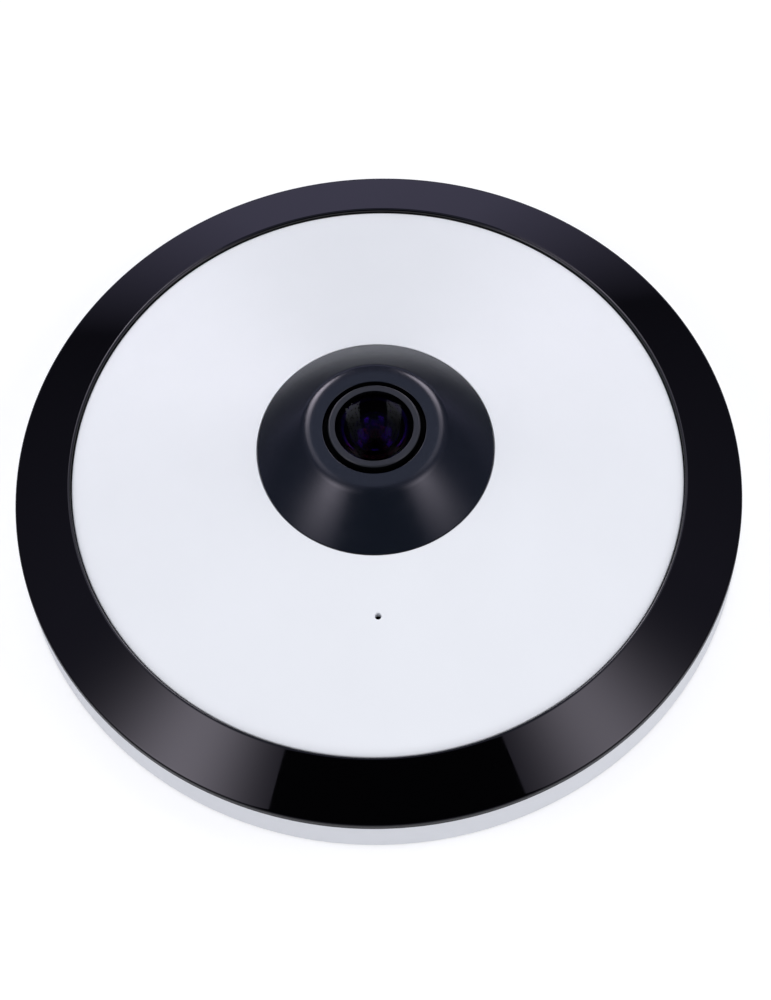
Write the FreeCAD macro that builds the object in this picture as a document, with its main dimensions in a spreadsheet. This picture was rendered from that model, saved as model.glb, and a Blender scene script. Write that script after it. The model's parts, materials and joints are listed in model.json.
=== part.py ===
import FreeCAD, Part
import math
import operator
import os
import types
import Sketcher

# Ceiling camera with a fixed fisheye lens, in millimetres.
# Z = 0 is the ceiling, +Z runs out of the lens, and the microphone hole lies towards -Y.

SIZES = {
    # Outside of the head
    "ring_radius": 75.0,
    "foot_inset": 0.35,
    "foot_lift": 0.3,
    "wall_height": 9.39,
    "rim_height": 1.65,
    "rim_round": 0.7,
    "ring_rise": 6.47,
    "ring_width": 12.05,
    "lip_bevel": 0.2,
    "lip_proud": 0.94,
    "disc_gap": 0.22,
    "disc_rise": 11.7,
    "shroud_radius": 23.87,
    "shroud_gap": 0.2,
    "shroud_rise": 8.88,
    "shoulder_round": 6.7,
    "crest_radius": 11.65,
    "opening_gap": 1.09,
    "flange_dish": 0.4,
    # Walls of the shells
    "housing_wall": 2.6,
    "floor_lift": 4.0,
    "floor_thickness": 2.0,
    "ring_wall": 2.0,
    "ledge_width": 3.3,
    "ledge_thickness": 1.4,
    "skirt_width": 0.9,
    "skirt_depth": 2.2,
    "cover_wall": 2.2,
    "cover_rim_height": 2.27,
    "cover_rim_width": 3.0,
    "shroud_wall": 1.8,
    "shroud_seat_depth": 1.1,
    "shroud_seat_thickness": 1.8,
    "shroud_seat_width": 4.0,
    "shroud_skirt_depth": 2.2,
    "shroud_skirt_width": 1.0,
    "shroud_shelf": 2.4,
    # Clearances
    "gap": 0.3,
    "small_gap": 0.1,
    "fit_gap": 0.05,
    "thread_gap": 0.03,
    "running_gap": 0.2,
    # Ceiling bracket and its bayonet
    "tab_clearance": 1.9,
    "bracket_width": 20.0,
    "bracket_thickness": 2.0,
    "bracket_hole_inset": 10.0,
    "bracket_hole_radius": 2.3,
    "bracket_sink_radius": 4.4,
    "bracket_sink_depth": 1.2,
    "tab_reach": 6.5,
    "tab_root": 4.0,
    "tab_thickness": 1.2,
    "tab_angle": 30.0,
    "tab_half_angle": 10.0,
    "tab_count": 3,
    "lug_thickness": 1.2,
    "lug_lift": 0.5,
    "ear_half_angle": 4.0,
    "lock_dimple_depth": 0.8,
    "lock_screw_radius": 1.25,
    "lock_tip_radius": 0.8,
    "lock_tip_length": 1.0,
    "lock_backed_off": 0.4,
    "lock_screw_inset": 0.6,
    # Screws that hold the front cover
    "cover_screw_inset": 7.5,
    "cover_screw_radius": 1.25,
    "cover_screw_head": 2.4,
    "cover_screw_head_height": 1.6,
    "cover_screw_bite": 6.0,
    "well_radius": 4.3,
    "well_height": 2.5,
    "boss_radius": 2.8,
    # Infrared lamps under the ring
    "carrier_gap": 0.8,
    "carrier_width": 6.9,
    "lamp_clearance": 0.45,
    "lamp_board_thickness": 1.2,
    "lamp_board_half_angle": 14.0,
    "lamp_board_inset": 0.3,
    "lamp_place": 3.7,
    "lamp_width": 3.5,
    "lamp_base_height": 0.9,
    "lamp_lens_radius": 1.45,
    "lamp_lens_height": 0.9,
    "lamp_screw_spread": 10.0,
    "lamp_screw_inset": 0.5,
    "lamp_screw_radius": 0.8,
    "lamp_screw_head": 1.4,
    "lamp_screw_head_height": 0.8,
    "lamp_screw_bite": 2.4,
    "lamp_angle": 90.0,
    "lamp_count": 3,
    "light_sensor_angle": 12.0,
    "light_sensor_width": 2.0,
    "light_sensor_height": 0.8,
    "lead_radius": 0.6,
    "lead_bend": 3.0,
    "lead_end_bend": 1.4,
    "lead_drop": 4.0,
    "lead_inset": 3.0,
    # Main board
    "board_post_height": 10.0,
    "board_thickness": 1.6,
    "board_clearance": 5.2,
    "board_hole_clearance": 1.7,
    "board_screw_inset": 5.0,
    "board_screw_radius": 1.2,
    "board_screw_head": 2.2,
    "board_screw_head_height": 1.5,
    "board_screw_bite": 5.0,
    "board_post_radius": 2.8,
    "board_screw_angle": 45.0,
    "board_screw_count": 4,
    "soc_place": 29.5,
    "soc_width": 14.0,
    "soc_height": 1.2,
    "pad_thickness": 0.5,
    "pad_inset": 1.0,
    "sink_width": 15.0,
    "sink_base": 0.9,
    "sink_clearance": 0.5,
    "fin_width": 0.8,
    "fin_count": 6,
    "memory_length": 10.0,
    "memory_width": 8.0,
    "memory_height": 1.0,
    "memory_spacing": 18.0,
    "memory_place": 30.0,
    "transformer_shift": 2.0,
    "transformer_length": 12.0,
    "transformer_width": 10.0,
    "transformer_height": 4.4,
    "inductor_width": 5.0,
    "inductor_height": 3.0,
    "inductor_clearance": 5.0,
    "inductor_place": 25.0,
    "capacitor_radius": 2.0,
    "capacitor_height": 4.2,
    "capacitor_circle": 33.5,
    "capacitor_angle": 250.0,
    "capacitor_spacing": 8.0,
    "battery_radius": 4.75,
    "battery_height": 2.1,
    "battery_circle": 33.0,
    "battery_angle": 148.0,
    # Sockets that face the ceiling
    "jack_place": 30.2,
    "jack_height": 13.5,
    "jack_width": 16.0,
    "jack_mouth_height": 8.2,
    "jack_mouth_width": 11.8,
    "jack_mouth_depth": 10.0,
    "contact_count": 8,
    "contact_pitch": 1.02,
    "contact_width": 0.5,
    "contact_thickness": 0.4,
    "contact_length": 7.0,
    "power_place": 31.0,
    "power_side": 13.0,
    "power_width": 9.0,
    "power_length": 10.0,
    "power_bore": 3.0,
    "power_depth": 9.0,
    "power_pin": 1.0,
    "power_pin_recess": 1.0,
    "terminal_side": 10.0,
    "terminal_width": 9.0,
    "terminal_length": 14.0,
    "terminal_count": 4,
    "terminal_pitch": 3.2,
    "terminal_entry": 2.0,
    "terminal_entry_depth": 6.0,
    # Memory card
    "card_width": 11.0,
    "card_length": 15.0,
    "card_thickness": 1.0,
    "card_clearance": 8.0,
    "card_lift": 1.0,
    "card_push": 0.8,
    "card_gap": 0.25,
    "card_window_gap": 0.6,
    "card_socket_wall": 0.6,
    # Reset button
    "switch_clearance": 2.7,
    "reset_radius": 1.5,
    "reset_travel": 0.5,
    "reset_recess": 0.4,
    "reset_flange": 2.4,
    "reset_flange_height": 0.8,
    "reset_guide_radius": 3.2,
    "reset_guide_height": 3.0,
    "reset_tip_radius": 1.2,
    "reset_tip_length": 1.6,
    "switch_width": 6.0,
    "switch_height": 3.4,
    "switch_well_depth": 1.7,
    # Microphone
    "mic_place": 35.8,
    "mic_hole_radius": 0.675,
    "mic_radius": 2.0,
    "mic_height": 1.5,
    "mic_boot_wall": 0.4,
    "mic_boot_height": 3.6,
    "mic_boss_wall": 0.95,
    # Image sensor board
    "sensor_post_height": 2.4,
    "sensor_post_radius": 2.2,
    "sensor_board_margin": 2.25,
    "sensor_board_thickness": 1.6,
    "sensor_screw_inset": 2.4,
    "sensor_screw_radius": 0.95,
    "sensor_screw_head": 1.7,
    "sensor_screw_head_height": 1.2,
    "sensor_screw_bite": 3.0,
    "sensor_length": 12.0,
    "sensor_width": 8.6,
    "sensor_height": 1.1,
    "sensor_glass_inset": 1.5,
    "sensor_glass_thickness": 0.5,
    "connector_width": 10.0,
    "connector_depth": 3.2,
    "connector_height": 1.6,
    "connector_clearance": 1.2,
    "connector_inset": 0.9,
    "flex_width": 8.0,
    "flex_thickness": 0.3,
    "flex_bend": 1.5,
    # Filter switch between the lens and the sensor
    "switch_lift": 1.9,
    "tray_base": 0.6,
    "tray_height": 2.5,
    "tray_wall": 0.8,
    "tray_foot_radius": 0.9,
    "tray_cover_thickness": 0.5,
    "carriage_width": 13.0,
    "carriage_side": 4.5,
    "carriage_thickness": 1.2,
    "carriage_end": 1.15,
    "filter_spacing": 0.4,
    "filter_width": 7.0,
    "filter_thickness": 0.5,
    "filter_window": 6.0,
    "filter_recess": 0.6,
    "light_window": 8.0,
    "magnet_length": 6.0,
    "magnet_width": 2.6,
    "magnet_height": 1.0,
    "coil_length": 14.0,
    "coil_clearance": 0.1,
    "coil_height": 1.2,
    "coil_wire": 1.3,
    # Lens
    "holder_wall": 1.2,
    "holder_clearance": 0.4,
    "holder_deck": 1.8,
    "holder_tube_radius": 8.6,
    "holder_tube_height": 6.8,
    "holder_ear_radius": 2.1,
    "holder_ear_height": 4.0,
    "holder_ear_spread": 12.0,
    "barrel_radius": 7.0,
    "barrel_lift": 0.7,
    "lens_ring_wall": 0.69,
    "barrel_head_height": 4.5,
    "lock_ring_radius": 9.8,
    "lock_ring_height": 1.6,
    "lens_ring_radius": 9.29,
    "lens_ring_height": 5.1,
    "lens_ring_chamfer": 0.35,
    "lens_proud": 1.05,
    "lens_bezel": 1.41,
    "glass_overlap": 0.47,
    "glass_lip": 0.45,
    "glass_seat": 2.1,
    "dome_radius": 16.0,
    "glass_bowl_edge": 5.6,
    "glass_bowl_depth": 2.6,
    "rear_bore": 4.7,
    "stop_bore": 4.0,
    "middle_bore": 5.2,
    "barrel_wall": 0.6,
    "rear_bore_length": 6.4,
    "stop_bore_length": 3.9,
    "middle_bore_length": 3.8,
    "stop_thickness": 0.3,
    "stop_hole": 1.6,
    "rear_glass_height": 4.0,
    "rear_glass_radius": 11.0,
    "rear_ring_inner": 3.6,
    "rear_ring_height": 1.2,
    "middle_glass_height": 2.0,
    "middle_glass_radius": 13.0,
    "second_glass_height": 2.0,
    "second_glass_top": 17.0,
    "second_glass_bowl": 7.0,
    "second_glass_bowl_edge": 4.4,
    "seal_inset": 1.2,
    "seal_height": 1.2,
    # Screws of the shroud
    "shroud_screw_inset": 2.2,
    "shroud_screw_radius": 0.95,
    "shroud_screw_head": 1.7,
    "shroud_screw_head_height": 1.2,
    "shroud_screw_bite": 1.4,
    "shroud_screw_count": 3,
}

TURN = 360.0
QUARTER_TURN = 90.0
OPERATIONS = {"+": operator.add, "-": operator.sub, "*": operator.mul, "/": operator.truediv}

doc = FreeCAD.newDocument("ceiling_camera")
sheet = doc.addObject("Spreadsheet::Sheet", "sizes")


class Size:
    """A number that is known here, with the formula that gives it from the sheet's cells."""

    def __init__(self, value, formula):
        self.value = value
        self.formula = formula

    def __add__(self, other):
        return combine(self, "+", other)

    def __radd__(self, other):
        return combine(other, "+", self)

    def __sub__(self, other):
        return combine(self, "-", other)

    def __rsub__(self, other):
        return combine(other, "-", self)

    def __mul__(self, other):
        return combine(self, "*", other)

    def __rmul__(self, other):
        return combine(other, "*", self)

    def __truediv__(self, other):
        return combine(self, "/", other)

    def __neg__(self):
        return combine(0, "-", self)


def as_size(number):
    return number if isinstance(number, Size) else Size(float(number), f"{float(number)}")


def combine(first, sign, second):
    first = as_size(first)
    second = as_size(second)
    value = OPERATIONS[sign](first.value, second.value)
    return Size(value, f"({first.formula} {sign} {second.formula})")


def root_of(size):
    return Size(math.sqrt(size.value), f"sqrt({size.formula})")


def sine_of(angle):
    return Size(math.sin(math.radians(angle.value)), f"sin({angle.formula})")


def bind(item, path, size):
    item.setExpression(path, as_size(size).formula)


def fill_sheet():
    for row, (alias, value) in enumerate(SIZES.items(), start=1):
        sheet.set(f"A{row}", alias)
        sheet.set(f"B{row}", str(value))
        sheet.setAlias(f"B{row}", alias)
    doc.recompute()
    cells = {alias: Size(float(value), f"sizes.{alias}") for alias, value in SIZES.items()}
    return types.SimpleNamespace(**cells)


d = fill_sheet()


class Circle:
    """A circle about (x, y)."""

    def __init__(self, x, y, radius):
        self.x = as_size(x)
        self.y = as_size(y)
        self.radius = as_size(radius)

    def draw(self, drawing):
        centre = FreeCAD.Vector(self.x.value, self.y.value, 0)
        circle = Part.Circle(centre, FreeCAD.Vector(0, 0, 1), self.radius.value)
        index = drawing.sketch.addGeometry(circle)
        drawing.hold(index, 3, self.x, self.y)
        drawing.measure(Sketcher.Constraint("Radius", index, self.radius.value), self.radius)


class Sector:
    """A piece of a flat ring that spreads equally to both sides of the sketch's X axis."""

    def __init__(self, inner, outer, half_angle):
        self.inner = as_size(inner)
        self.outer = as_size(outer)
        self.half_angle = as_size(half_angle)

    def draw(self, drawing):
        sketch = drawing.sketch
        spread = math.radians(self.half_angle.value)
        arcs = []
        for radius in (self.inner, self.outer):
            circle = Part.Circle(FreeCAD.Vector(), FreeCAD.Vector(0, 0, 1), radius.value)
            index = sketch.addGeometry(Part.ArcOfCircle(circle, -spread, spread))
            drawing.hold(index, 3, as_size(0), as_size(0))
            drawing.measure(Sketcher.Constraint("Radius", index, radius.value), radius)
            side = radius * sine_of(self.half_angle)
            drawing.measure(Sketcher.Constraint("DistanceY", -1, 1, index, 2, side.value), side)
            sketch.addConstraint(Sketcher.Constraint("Symmetric", index, 1, index, 2, -1))
            arcs.append(index)
        for end in (1, 2):
            points = [sketch.getPoint(index, end) for index in arcs]
            line = sketch.addGeometry(Part.LineSegment(*points))
            for line_end, index in enumerate(arcs, start=1):
                sketch.addConstraint(Sketcher.Constraint("Coincident", line, line_end, index, end))


class Outline:
    """A closed run of corners (x, y), where (x, y, radius) also says that the edge leaving the
    corner is an arc: to the left of the straight line if the radius is positive, else right."""

    def __init__(self, corners):
        self.corners = [tuple(as_size(number) for number in corner) for corner in corners]

    def draw(self, drawing):
        sketch = drawing.sketch
        edges = []
        for index, corner in enumerate(self.corners):
            follower = self.corners[(index + 1) % len(self.corners)]
            start = FreeCAD.Vector(corner[0].value, corner[1].value, 0)
            end = FreeCAD.Vector(follower[0].value, follower[1].value, 0)
            if len(corner) == 3:
                edges.append(self.draw_arc(drawing, start, end, corner[2]))
            else:
                edges.append((sketch.addGeometry(Part.LineSegment(start, end)), 1, 2))
        for index, (geometry, first, last) in enumerate(edges):
            following, next_first, next_last = edges[(index + 1) % len(edges)]
            joint = Sketcher.Constraint("Coincident", geometry, last, following, next_first)
            sketch.addConstraint(joint)
            drawing.hold(geometry, first, self.corners[index][0], self.corners[index][1])

    def draw_arc(self, drawing, start, end, radius):
        chord = end - start
        left = FreeCAD.Vector(-chord.y, chord.x, 0).normalize()
        size = abs(radius.value)
        reach = math.sqrt(size ** 2 - (chord.Length / 2) ** 2)
        bulge = math.copysign(1.0, radius.value)
        centre = (start + end) / 2 - left * (bulge * reach)
        circle = Part.Circle(centre, FreeCAD.Vector(0, 0, 1), size)
        angles = [math.atan2(point.y - centre.y, point.x - centre.x) for point in (start, end)]
        if bulge > 0:
            angles.reverse()
        index = drawing.sketch.addGeometry(Part.ArcOfCircle(circle, *angles))
        held = radius if bulge > 0 else -radius
        drawing.measure(Sketcher.Constraint("Radius", index, size), held)
        return (index, 2, 1) if bulge > 0 else (index, 1, 2)


class Route:
    """An open path of level and upright runs through corners, bent to a radius at each."""

    def __init__(self, points, bends):
        self.points = [(as_size(x), as_size(y)) for x, y in points]
        self.bends = [as_size(bend) for bend in bends]

    def draw(self, drawing):
        sketch = drawing.sketch
        start = self.points[0]
        previous = None
        for index in range(1, len(self.points)):
            corner = self.points[index]
            turning = index < len(self.points) - 1
            end = self.step(corner, self.points[index - 1], self.bends[index - 1]) if turning else corner
            line = sketch.addGeometry(Part.LineSegment(vector_of(start), vector_of(end)))
            drawing.hold(line, 1, *start)
            drawing.hold(line, 2, *end)
            if previous is not None:
                self.draw_bend(drawing, previous, line, index - 2)
            previous = line
            if turning:
                start = self.step(corner, self.points[index + 1], self.bends[index - 1])

    def step(self, corner, towards, length):
        """The point on the run from a corner towards another, a bend's radius away."""
        moved = []
        for here, there in zip(corner, towards):
            change = there.value - here.value
            moved.append(here if change == 0 else here + math.copysign(1.0, change) * length)
        return tuple(moved)

    def draw_bend(self, drawing, before, after, index):
        sketch = drawing.sketch
        bend = self.bends[index]
        start = sketch.getPoint(before, 2)
        end = sketch.getPoint(after, 1)
        centre = start + end - vector_of(self.points[index + 1])
        circle = Part.Circle(centre, FreeCAD.Vector(0, 0, 1), bend.value)
        angles = [math.atan2(point.y - centre.y, point.x - centre.x) for point in (start, end)]
        ends = [1, 2]
        turned_left = (start - centre).cross(end - centre).z > 0
        if not turned_left:
            angles.reverse()
            ends.reverse()
        arc = sketch.addGeometry(Part.ArcOfCircle(circle, *angles))
        sketch.addConstraint(Sketcher.Constraint("Coincident", arc, ends[0], before, 2))
        sketch.addConstraint(Sketcher.Constraint("Coincident", arc, ends[1], after, 1))
        drawing.measure(Sketcher.Constraint("Radius", arc, bend.value), bend)


def vector_of(point):
    return FreeCAD.Vector(point[0].value, point[1].value, 0)


def box(x_low, y_low, x_high, y_high):
    return Outline([(x_low, y_low), (x_high, y_low), (x_high, y_high), (x_low, y_high)])


def middle_box(x, y, width, depth):
    """A rectangle about the point (x, y)."""
    return box(x - width / 2, y - depth / 2, x + width / 2, y + depth / 2)


class Drawing:
    """A sketch on one of a body's own origin planes, in which a size holds every point."""

    def __init__(self, body, plane, level, spin):
        self.sketch = body.newObject("Sketcher::SketchObject", "sketch")
        support = next(item for item in body.Origin.OriginFeatures if item.Role == plane)
        self.sketch.AttachmentSupport = [(support, "")]
        self.sketch.MapMode = "FlatFace"
        turned = FreeCAD.Rotation(FreeCAD.Vector(0, 0, 1), as_size(spin).value)
        self.sketch.AttachmentOffset = FreeCAD.Placement(FreeCAD.Vector(), turned)
        bind(self.sketch, "AttachmentOffset.Base.z", level)
        if as_size(spin).value:
            bind(self.sketch, "AttachmentOffset.Rotation.Angle", spin)

    def measure(self, constraint, size):
        index = self.sketch.addConstraint(constraint)
        self.sketch.setExpression(f"Constraints[{index}]", size.formula)

    def hold(self, geometry, end, x, y):
        if x.value == 0 and y.value == 0:
            self.sketch.addConstraint(Sketcher.Constraint("Coincident", geometry, end, -1, 1))
            return
        for kind, axis, size in (("DistanceX", -2, x), ("DistanceY", -1, y)):
            if size.value == 0:
                self.sketch.addConstraint(Sketcher.Constraint("PointOnObject", geometry, end, axis))
            else:
                self.measure(Sketcher.Constraint(kind, -1, 1, geometry, end, size.value), size)


class Piece:
    """One sub-part, built as a body of sketched features."""

    def __init__(self, label):
        self.body = doc.addObject("PartDesign::Body", label)
        self.body.Label = label
        PIECES.append(self.body)

    def sketch(self, shapes, plane, level=0, spin=0):
        drawing = Drawing(self.body, plane, level, spin)
        for shape in shapes:
            shape.draw(drawing)
        return drawing.sketch

    def turn(self, corners):
        """A solid of revolution about Z, from corners given as (radius, height)."""
        profile = self.sketch([Outline(corners)], "XZ_Plane")
        feature = self.body.newObject("PartDesign::Revolution", "turned")
        feature.Profile = profile
        feature.ReferenceAxis = (profile, ["V_Axis"])
        feature.Angle = TURN

    def pad(self, shapes, low, height, spin=0, copies=None, plane="XY_Plane"):
        feature = self.body.newObject("PartDesign::Pad", "pad")
        feature.Profile = self.sketch(shapes, plane, low, spin)
        bind(feature, "Length", height)
        self.repeat(feature, copies)

    def pocket(self, shapes, top, depth, spin=0, copies=None, plane="XY_Plane"):
        """A cut that runs from a plane against that plane's own direction."""
        feature = self.body.newObject("PartDesign::Pocket", "pocket")
        feature.Profile = self.sketch(shapes, plane, top, spin)
        bind(feature, "Length", depth)
        self.repeat(feature, copies)

    def pipe(self, profile, route, plane, low, copies=None, path_plane="YZ_Plane"):
        feature = self.body.newObject("PartDesign::AdditivePipe", "pipe")
        feature.Profile = self.sketch([profile], plane, low)
        feature.Spine = self.sketch([route], path_plane)
        self.repeat(feature, copies)

    def repeat(self, feature, copies):
        if copies is None:
            return
        pattern = self.body.newObject("PartDesign::PolarPattern", "ring_of_copies")
        pattern.Originals = [feature]
        axis = next(item for item in self.body.Origin.OriginFeatures if item.Role == "Z_Axis")
        pattern.Axis = (axis, [""])
        pattern.Angle = TURN
        bind(pattern, "Occurrences", copies)
        self.body.Tip = pattern


def block(label, x_low, y_low, z_low, length, width, height):
    """A plain rectangular piece."""
    item = doc.addObject("Part::Box", label)
    item.Label = label
    bind(item, "Length", length)
    bind(item, "Width", width)
    bind(item, "Height", height)
    bind(item, "Placement.Base.x", x_low)
    bind(item, "Placement.Base.y", y_low)
    bind(item, "Placement.Base.z", z_low)
    PIECES.append(item)


def height_on(start, end, radius):
    """Height at a radius on the straight line between two (radius, height) points."""
    slope = (end[1] - start[1]) / (end[0] - start[0])
    return start[1] + slope * (radius - start[0])


def radius_on(start, end, height):
    """Radius at a height on the straight line between two (radius, height) points."""
    slope = (end[0] - start[0]) / (end[1] - start[1])
    return start[0] + slope * (height - start[1])


def inside_of(outer, inner, wall):
    """The line between two points of a shell's outside, moved inwards by the wall."""
    across = outer[0] - inner[0]
    rise = inner[1] - outer[1]
    length = root_of(across * across + rise * rise)
    shift = (wall * rise / length, wall * across / length)
    return [(point[0] - shift[0], point[1] - shift[1]) for point in (outer, inner)]


def touch_point(point, centre, radius):
    """Where a line from a point touches the upper side of a circle."""
    across = point[0] - centre[0]
    rise = point[1] - centre[1]
    square = across * across + rise * rise
    tangent = root_of(square - radius * radius)
    along = radius * radius / square
    aside = radius * tangent / square
    return (centre[0] + across * along - rise * aside, centre[1] + rise * along + across * aside)


def corner_radius(x, y):
    """Distance of a corner (x, y) from the lens axis."""
    return root_of(x * x + y * y)


def sagitta(radius, half_chord):
    """How far an arc of a radius rises over a chord."""
    return radius - root_of(radius * radius - half_chord * half_chord)


PIECES = []

# Levels of the shells
floor_low = d.floor_lift
floor_top = floor_low + d.floor_thickness
wall_top = d.foot_lift + d.wall_height
rim_top = wall_top + d.rim_height
lip_top = rim_top + d.ring_rise
lip_radius = d.ring_radius - d.ring_width
foot_radius = d.ring_radius - d.foot_inset
housing_inner = d.ring_radius - d.housing_wall
skirt_outer = housing_inner - d.gap
skirt_inner = skirt_outer - d.skirt_width

# The ring's slope and its underside
ring_outer = (d.ring_radius, rim_top)
ring_lip = (lip_radius, lip_top)
ring_under = inside_of(ring_outer, ring_lip, d.ring_wall)

# The white cover's slope and its underside
disc_radius = lip_radius - d.disc_gap
disc_edge = (disc_radius, lip_top - d.lip_proud)
shroud_foot = (d.shroud_radius, disc_edge[1] + d.disc_rise)
disc_under = inside_of(disc_edge, shroud_foot, d.cover_wall)
ledge_top = disc_edge[1] - d.cover_rim_height
seat_radius = d.shroud_radius + d.shroud_gap
seat_level = shroud_foot[1] - d.shroud_seat_depth
seat_low = seat_level - d.shroud_seat_thickness
cover_opening = seat_radius - d.shroud_seat_width
cover_screw_circle = disc_radius - d.cover_screw_inset
shroud_screw_circle = seat_radius - d.shroud_screw_inset

# The dark shroud, whose straight flank meets the shoulder's round without a corner
crest = (d.crest_radius, shroud_foot[1] + d.shroud_rise)
shoulder = touch_point(shroud_foot, (crest[0], crest[1] - d.shoulder_round), d.shoulder_round)
opening_level = crest[1] - d.flange_dish
opening_radius = d.lens_ring_radius + d.opening_gap
flank_under = inside_of(shroud_foot, shoulder, d.shroud_wall)
flange_low = opening_level - d.shroud_wall
neck_radius = radius_on(*flank_under, flange_low)
shroud_skirt_outer = cover_opening - d.gap
shroud_skirt_inner = shroud_skirt_outer - d.shroud_skirt_width

# Bracket and bayonet
tab_low = d.bracket_thickness + d.gap
tab_top = tab_low + d.tab_thickness
tab_outer = housing_inner - d.tab_clearance
bracket_radius = tab_outer - d.tab_reach
bracket_opening = bracket_radius - d.bracket_width
bracket_hole_circle = bracket_radius - d.bracket_hole_inset
lug_low = d.foot_lift + d.lug_lift
lug_inner = bracket_radius + d.gap
lock_level = d.bracket_thickness + d.lock_tip_radius - d.small_gap
lock_tip = tab_outer + d.lock_backed_off
lock_angle = as_size(QUARTER_TURN)

# Lamps, which lie as close under the ring as their clearance lets them
carrier_outer = skirt_inner - d.carrier_gap
carrier_inner = carrier_outer - d.carrier_width
lamp_circle = carrier_inner + d.lamp_place
lamp_top = height_on(*ring_under, lamp_circle + d.lamp_lens_radius) - d.lamp_clearance
lamp_board_top = lamp_top - d.lamp_lens_height - d.lamp_base_height
carrier_top = lamp_board_top - d.lamp_board_thickness

# Boards
board_low = floor_top + d.board_post_height
board_top = board_low + d.board_thickness
board_outer = cover_screw_circle - d.boss_radius - d.board_clearance
board_screw_circle = board_outer - d.board_screw_inset
well_top = floor_top + d.well_height
sensor_board_low = floor_top + d.sensor_post_height
sensor_board_top = sensor_board_low + d.sensor_board_thickness

# Filter switch
filter_pitch = d.filter_width + d.filter_spacing
tray_low = sensor_board_top + d.switch_lift
tray_floor = tray_low + d.tray_base
tray_top = tray_low + d.tray_height
carriage_low = tray_floor + d.running_gap
carriage_top = carriage_low + d.carriage_thickness
carriage_half = filter_pitch / 2 + d.filter_width / 2 + d.carriage_end
carriage_left = -(filter_pitch / 2) - carriage_half
carriage_low_side = -d.carriage_side
tray_inner_x = carriage_half + filter_pitch / 2 + d.gap
tray_inner_low = carriage_low_side - d.gap
tray_inner_high = carriage_low_side + d.carriage_width + d.gap
tray_outer_x = tray_inner_x + d.tray_wall
tray_outer_low = tray_inner_low - d.tray_wall
tray_outer_high = tray_inner_high + d.tray_wall
magnet_side = carriage_low_side + d.carriage_width - d.magnet_width - d.tray_wall
magnet_middle = magnet_side + d.magnet_width / 2

# Lens holder and lens
holder_x = tray_outer_x + d.holder_clearance + d.holder_wall
holder_low = tray_outer_low - d.holder_clearance - d.holder_wall
holder_high = tray_outer_high + d.holder_clearance + d.holder_wall
deck_low = tray_top + d.tray_cover_thickness + d.holder_clearance
deck_top = deck_low + d.holder_deck
tube_top = deck_top + d.holder_tube_height
barrel_rear = deck_low + d.barrel_lift
lens_front = opening_level + d.lens_proud
glass_radius = d.lens_ring_radius - d.lens_bezel
glass_edge = glass_radius + d.glass_overlap
barrel_head_radius = d.lens_ring_radius - d.lens_ring_wall
front_bore = d.barrel_radius - d.barrel_wall
glass_back = lens_front - d.glass_seat
barrel_head_low = glass_back - d.barrel_head_height
dome_top = lens_front + sagitta(d.dome_radius, glass_radius)
stop_level = barrel_rear + d.rear_bore_length
middle_level = stop_level + d.stop_bore_length
second_level = middle_level + d.middle_bore_length
rear_glass_low = stop_level - d.stop_thickness - d.rear_glass_height
ear_side = holder_low - d.holder_ear_radius

# Places on the boards, seen from the lens
sensor_board_width = (holder_x + d.sensor_board_margin) * 2
sensor_screw_place = sensor_board_width / 2 - d.sensor_screw_inset
board_inner = corner_radius(holder_x, holder_high) + d.board_hole_clearance
connector_near = holder_high + d.connector_clearance
connector_far = board_inner + d.connector_inset
reset_place = connector_far + d.connector_depth + d.switch_clearance + d.switch_width / 2
card_side = d.card_clearance - d.mic_place
card_low = floor_low + d.card_lift
socket_low = floor_top + d.running_gap
socket_cavity_top = card_low + d.card_length + d.card_push + d.running_gap
socket_width = d.card_width + d.card_gap * 2 + d.card_socket_wall * 2
socket_depth = d.card_thickness + d.card_gap * 2 + d.card_socket_wall * 2
switch_low = board_low - d.switch_height
guide_top = floor_top + d.reset_guide_height
mic_boot_radius = d.mic_radius + d.fit_gap + d.mic_boot_wall
mic_boot_low = board_top + d.running_gap
mic_boot_top = mic_boot_low + d.mic_boot_height


def mount_bracket():
    piece = Piece("mount_bracket")
    plate = [Circle(0, 0, bracket_radius), Circle(0, 0, bracket_opening)]
    piece.pad(plate, 0, d.bracket_thickness)
    root = Sector(bracket_radius - d.tab_root, bracket_radius, d.tab_half_angle)
    root_height = tab_top - d.bracket_thickness
    piece.pad([root], d.bracket_thickness, root_height, d.tab_angle, d.tab_count)
    tab = Sector(bracket_radius - d.tab_root / 2, tab_outer, d.tab_half_angle)
    piece.pad([tab], tab_low, d.tab_thickness, d.tab_angle, d.tab_count)
    ear = Sector(bracket_radius - d.tab_root / 2, tab_outer, d.ear_half_angle)
    piece.pad([ear], lug_low, tab_top - lug_low, lock_angle)
    screw_hole = [Circle(bracket_hole_circle, 0, d.bracket_hole_radius)]
    piece.pocket(screw_hole, d.bracket_thickness, d.bracket_thickness, lock_angle, d.tab_count)
    sink = [Circle(bracket_hole_circle, 0, d.bracket_sink_radius)]
    piece.pocket(sink, d.bracket_thickness, d.bracket_sink_depth, lock_angle, d.tab_count)
    dimple = [Circle(0, lock_level, d.lock_tip_radius + d.small_gap)]
    piece.pocket(dimple, -(tab_outer - d.lock_dimple_depth), d.lock_dimple_depth * 2, plane="XZ_Plane")


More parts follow.
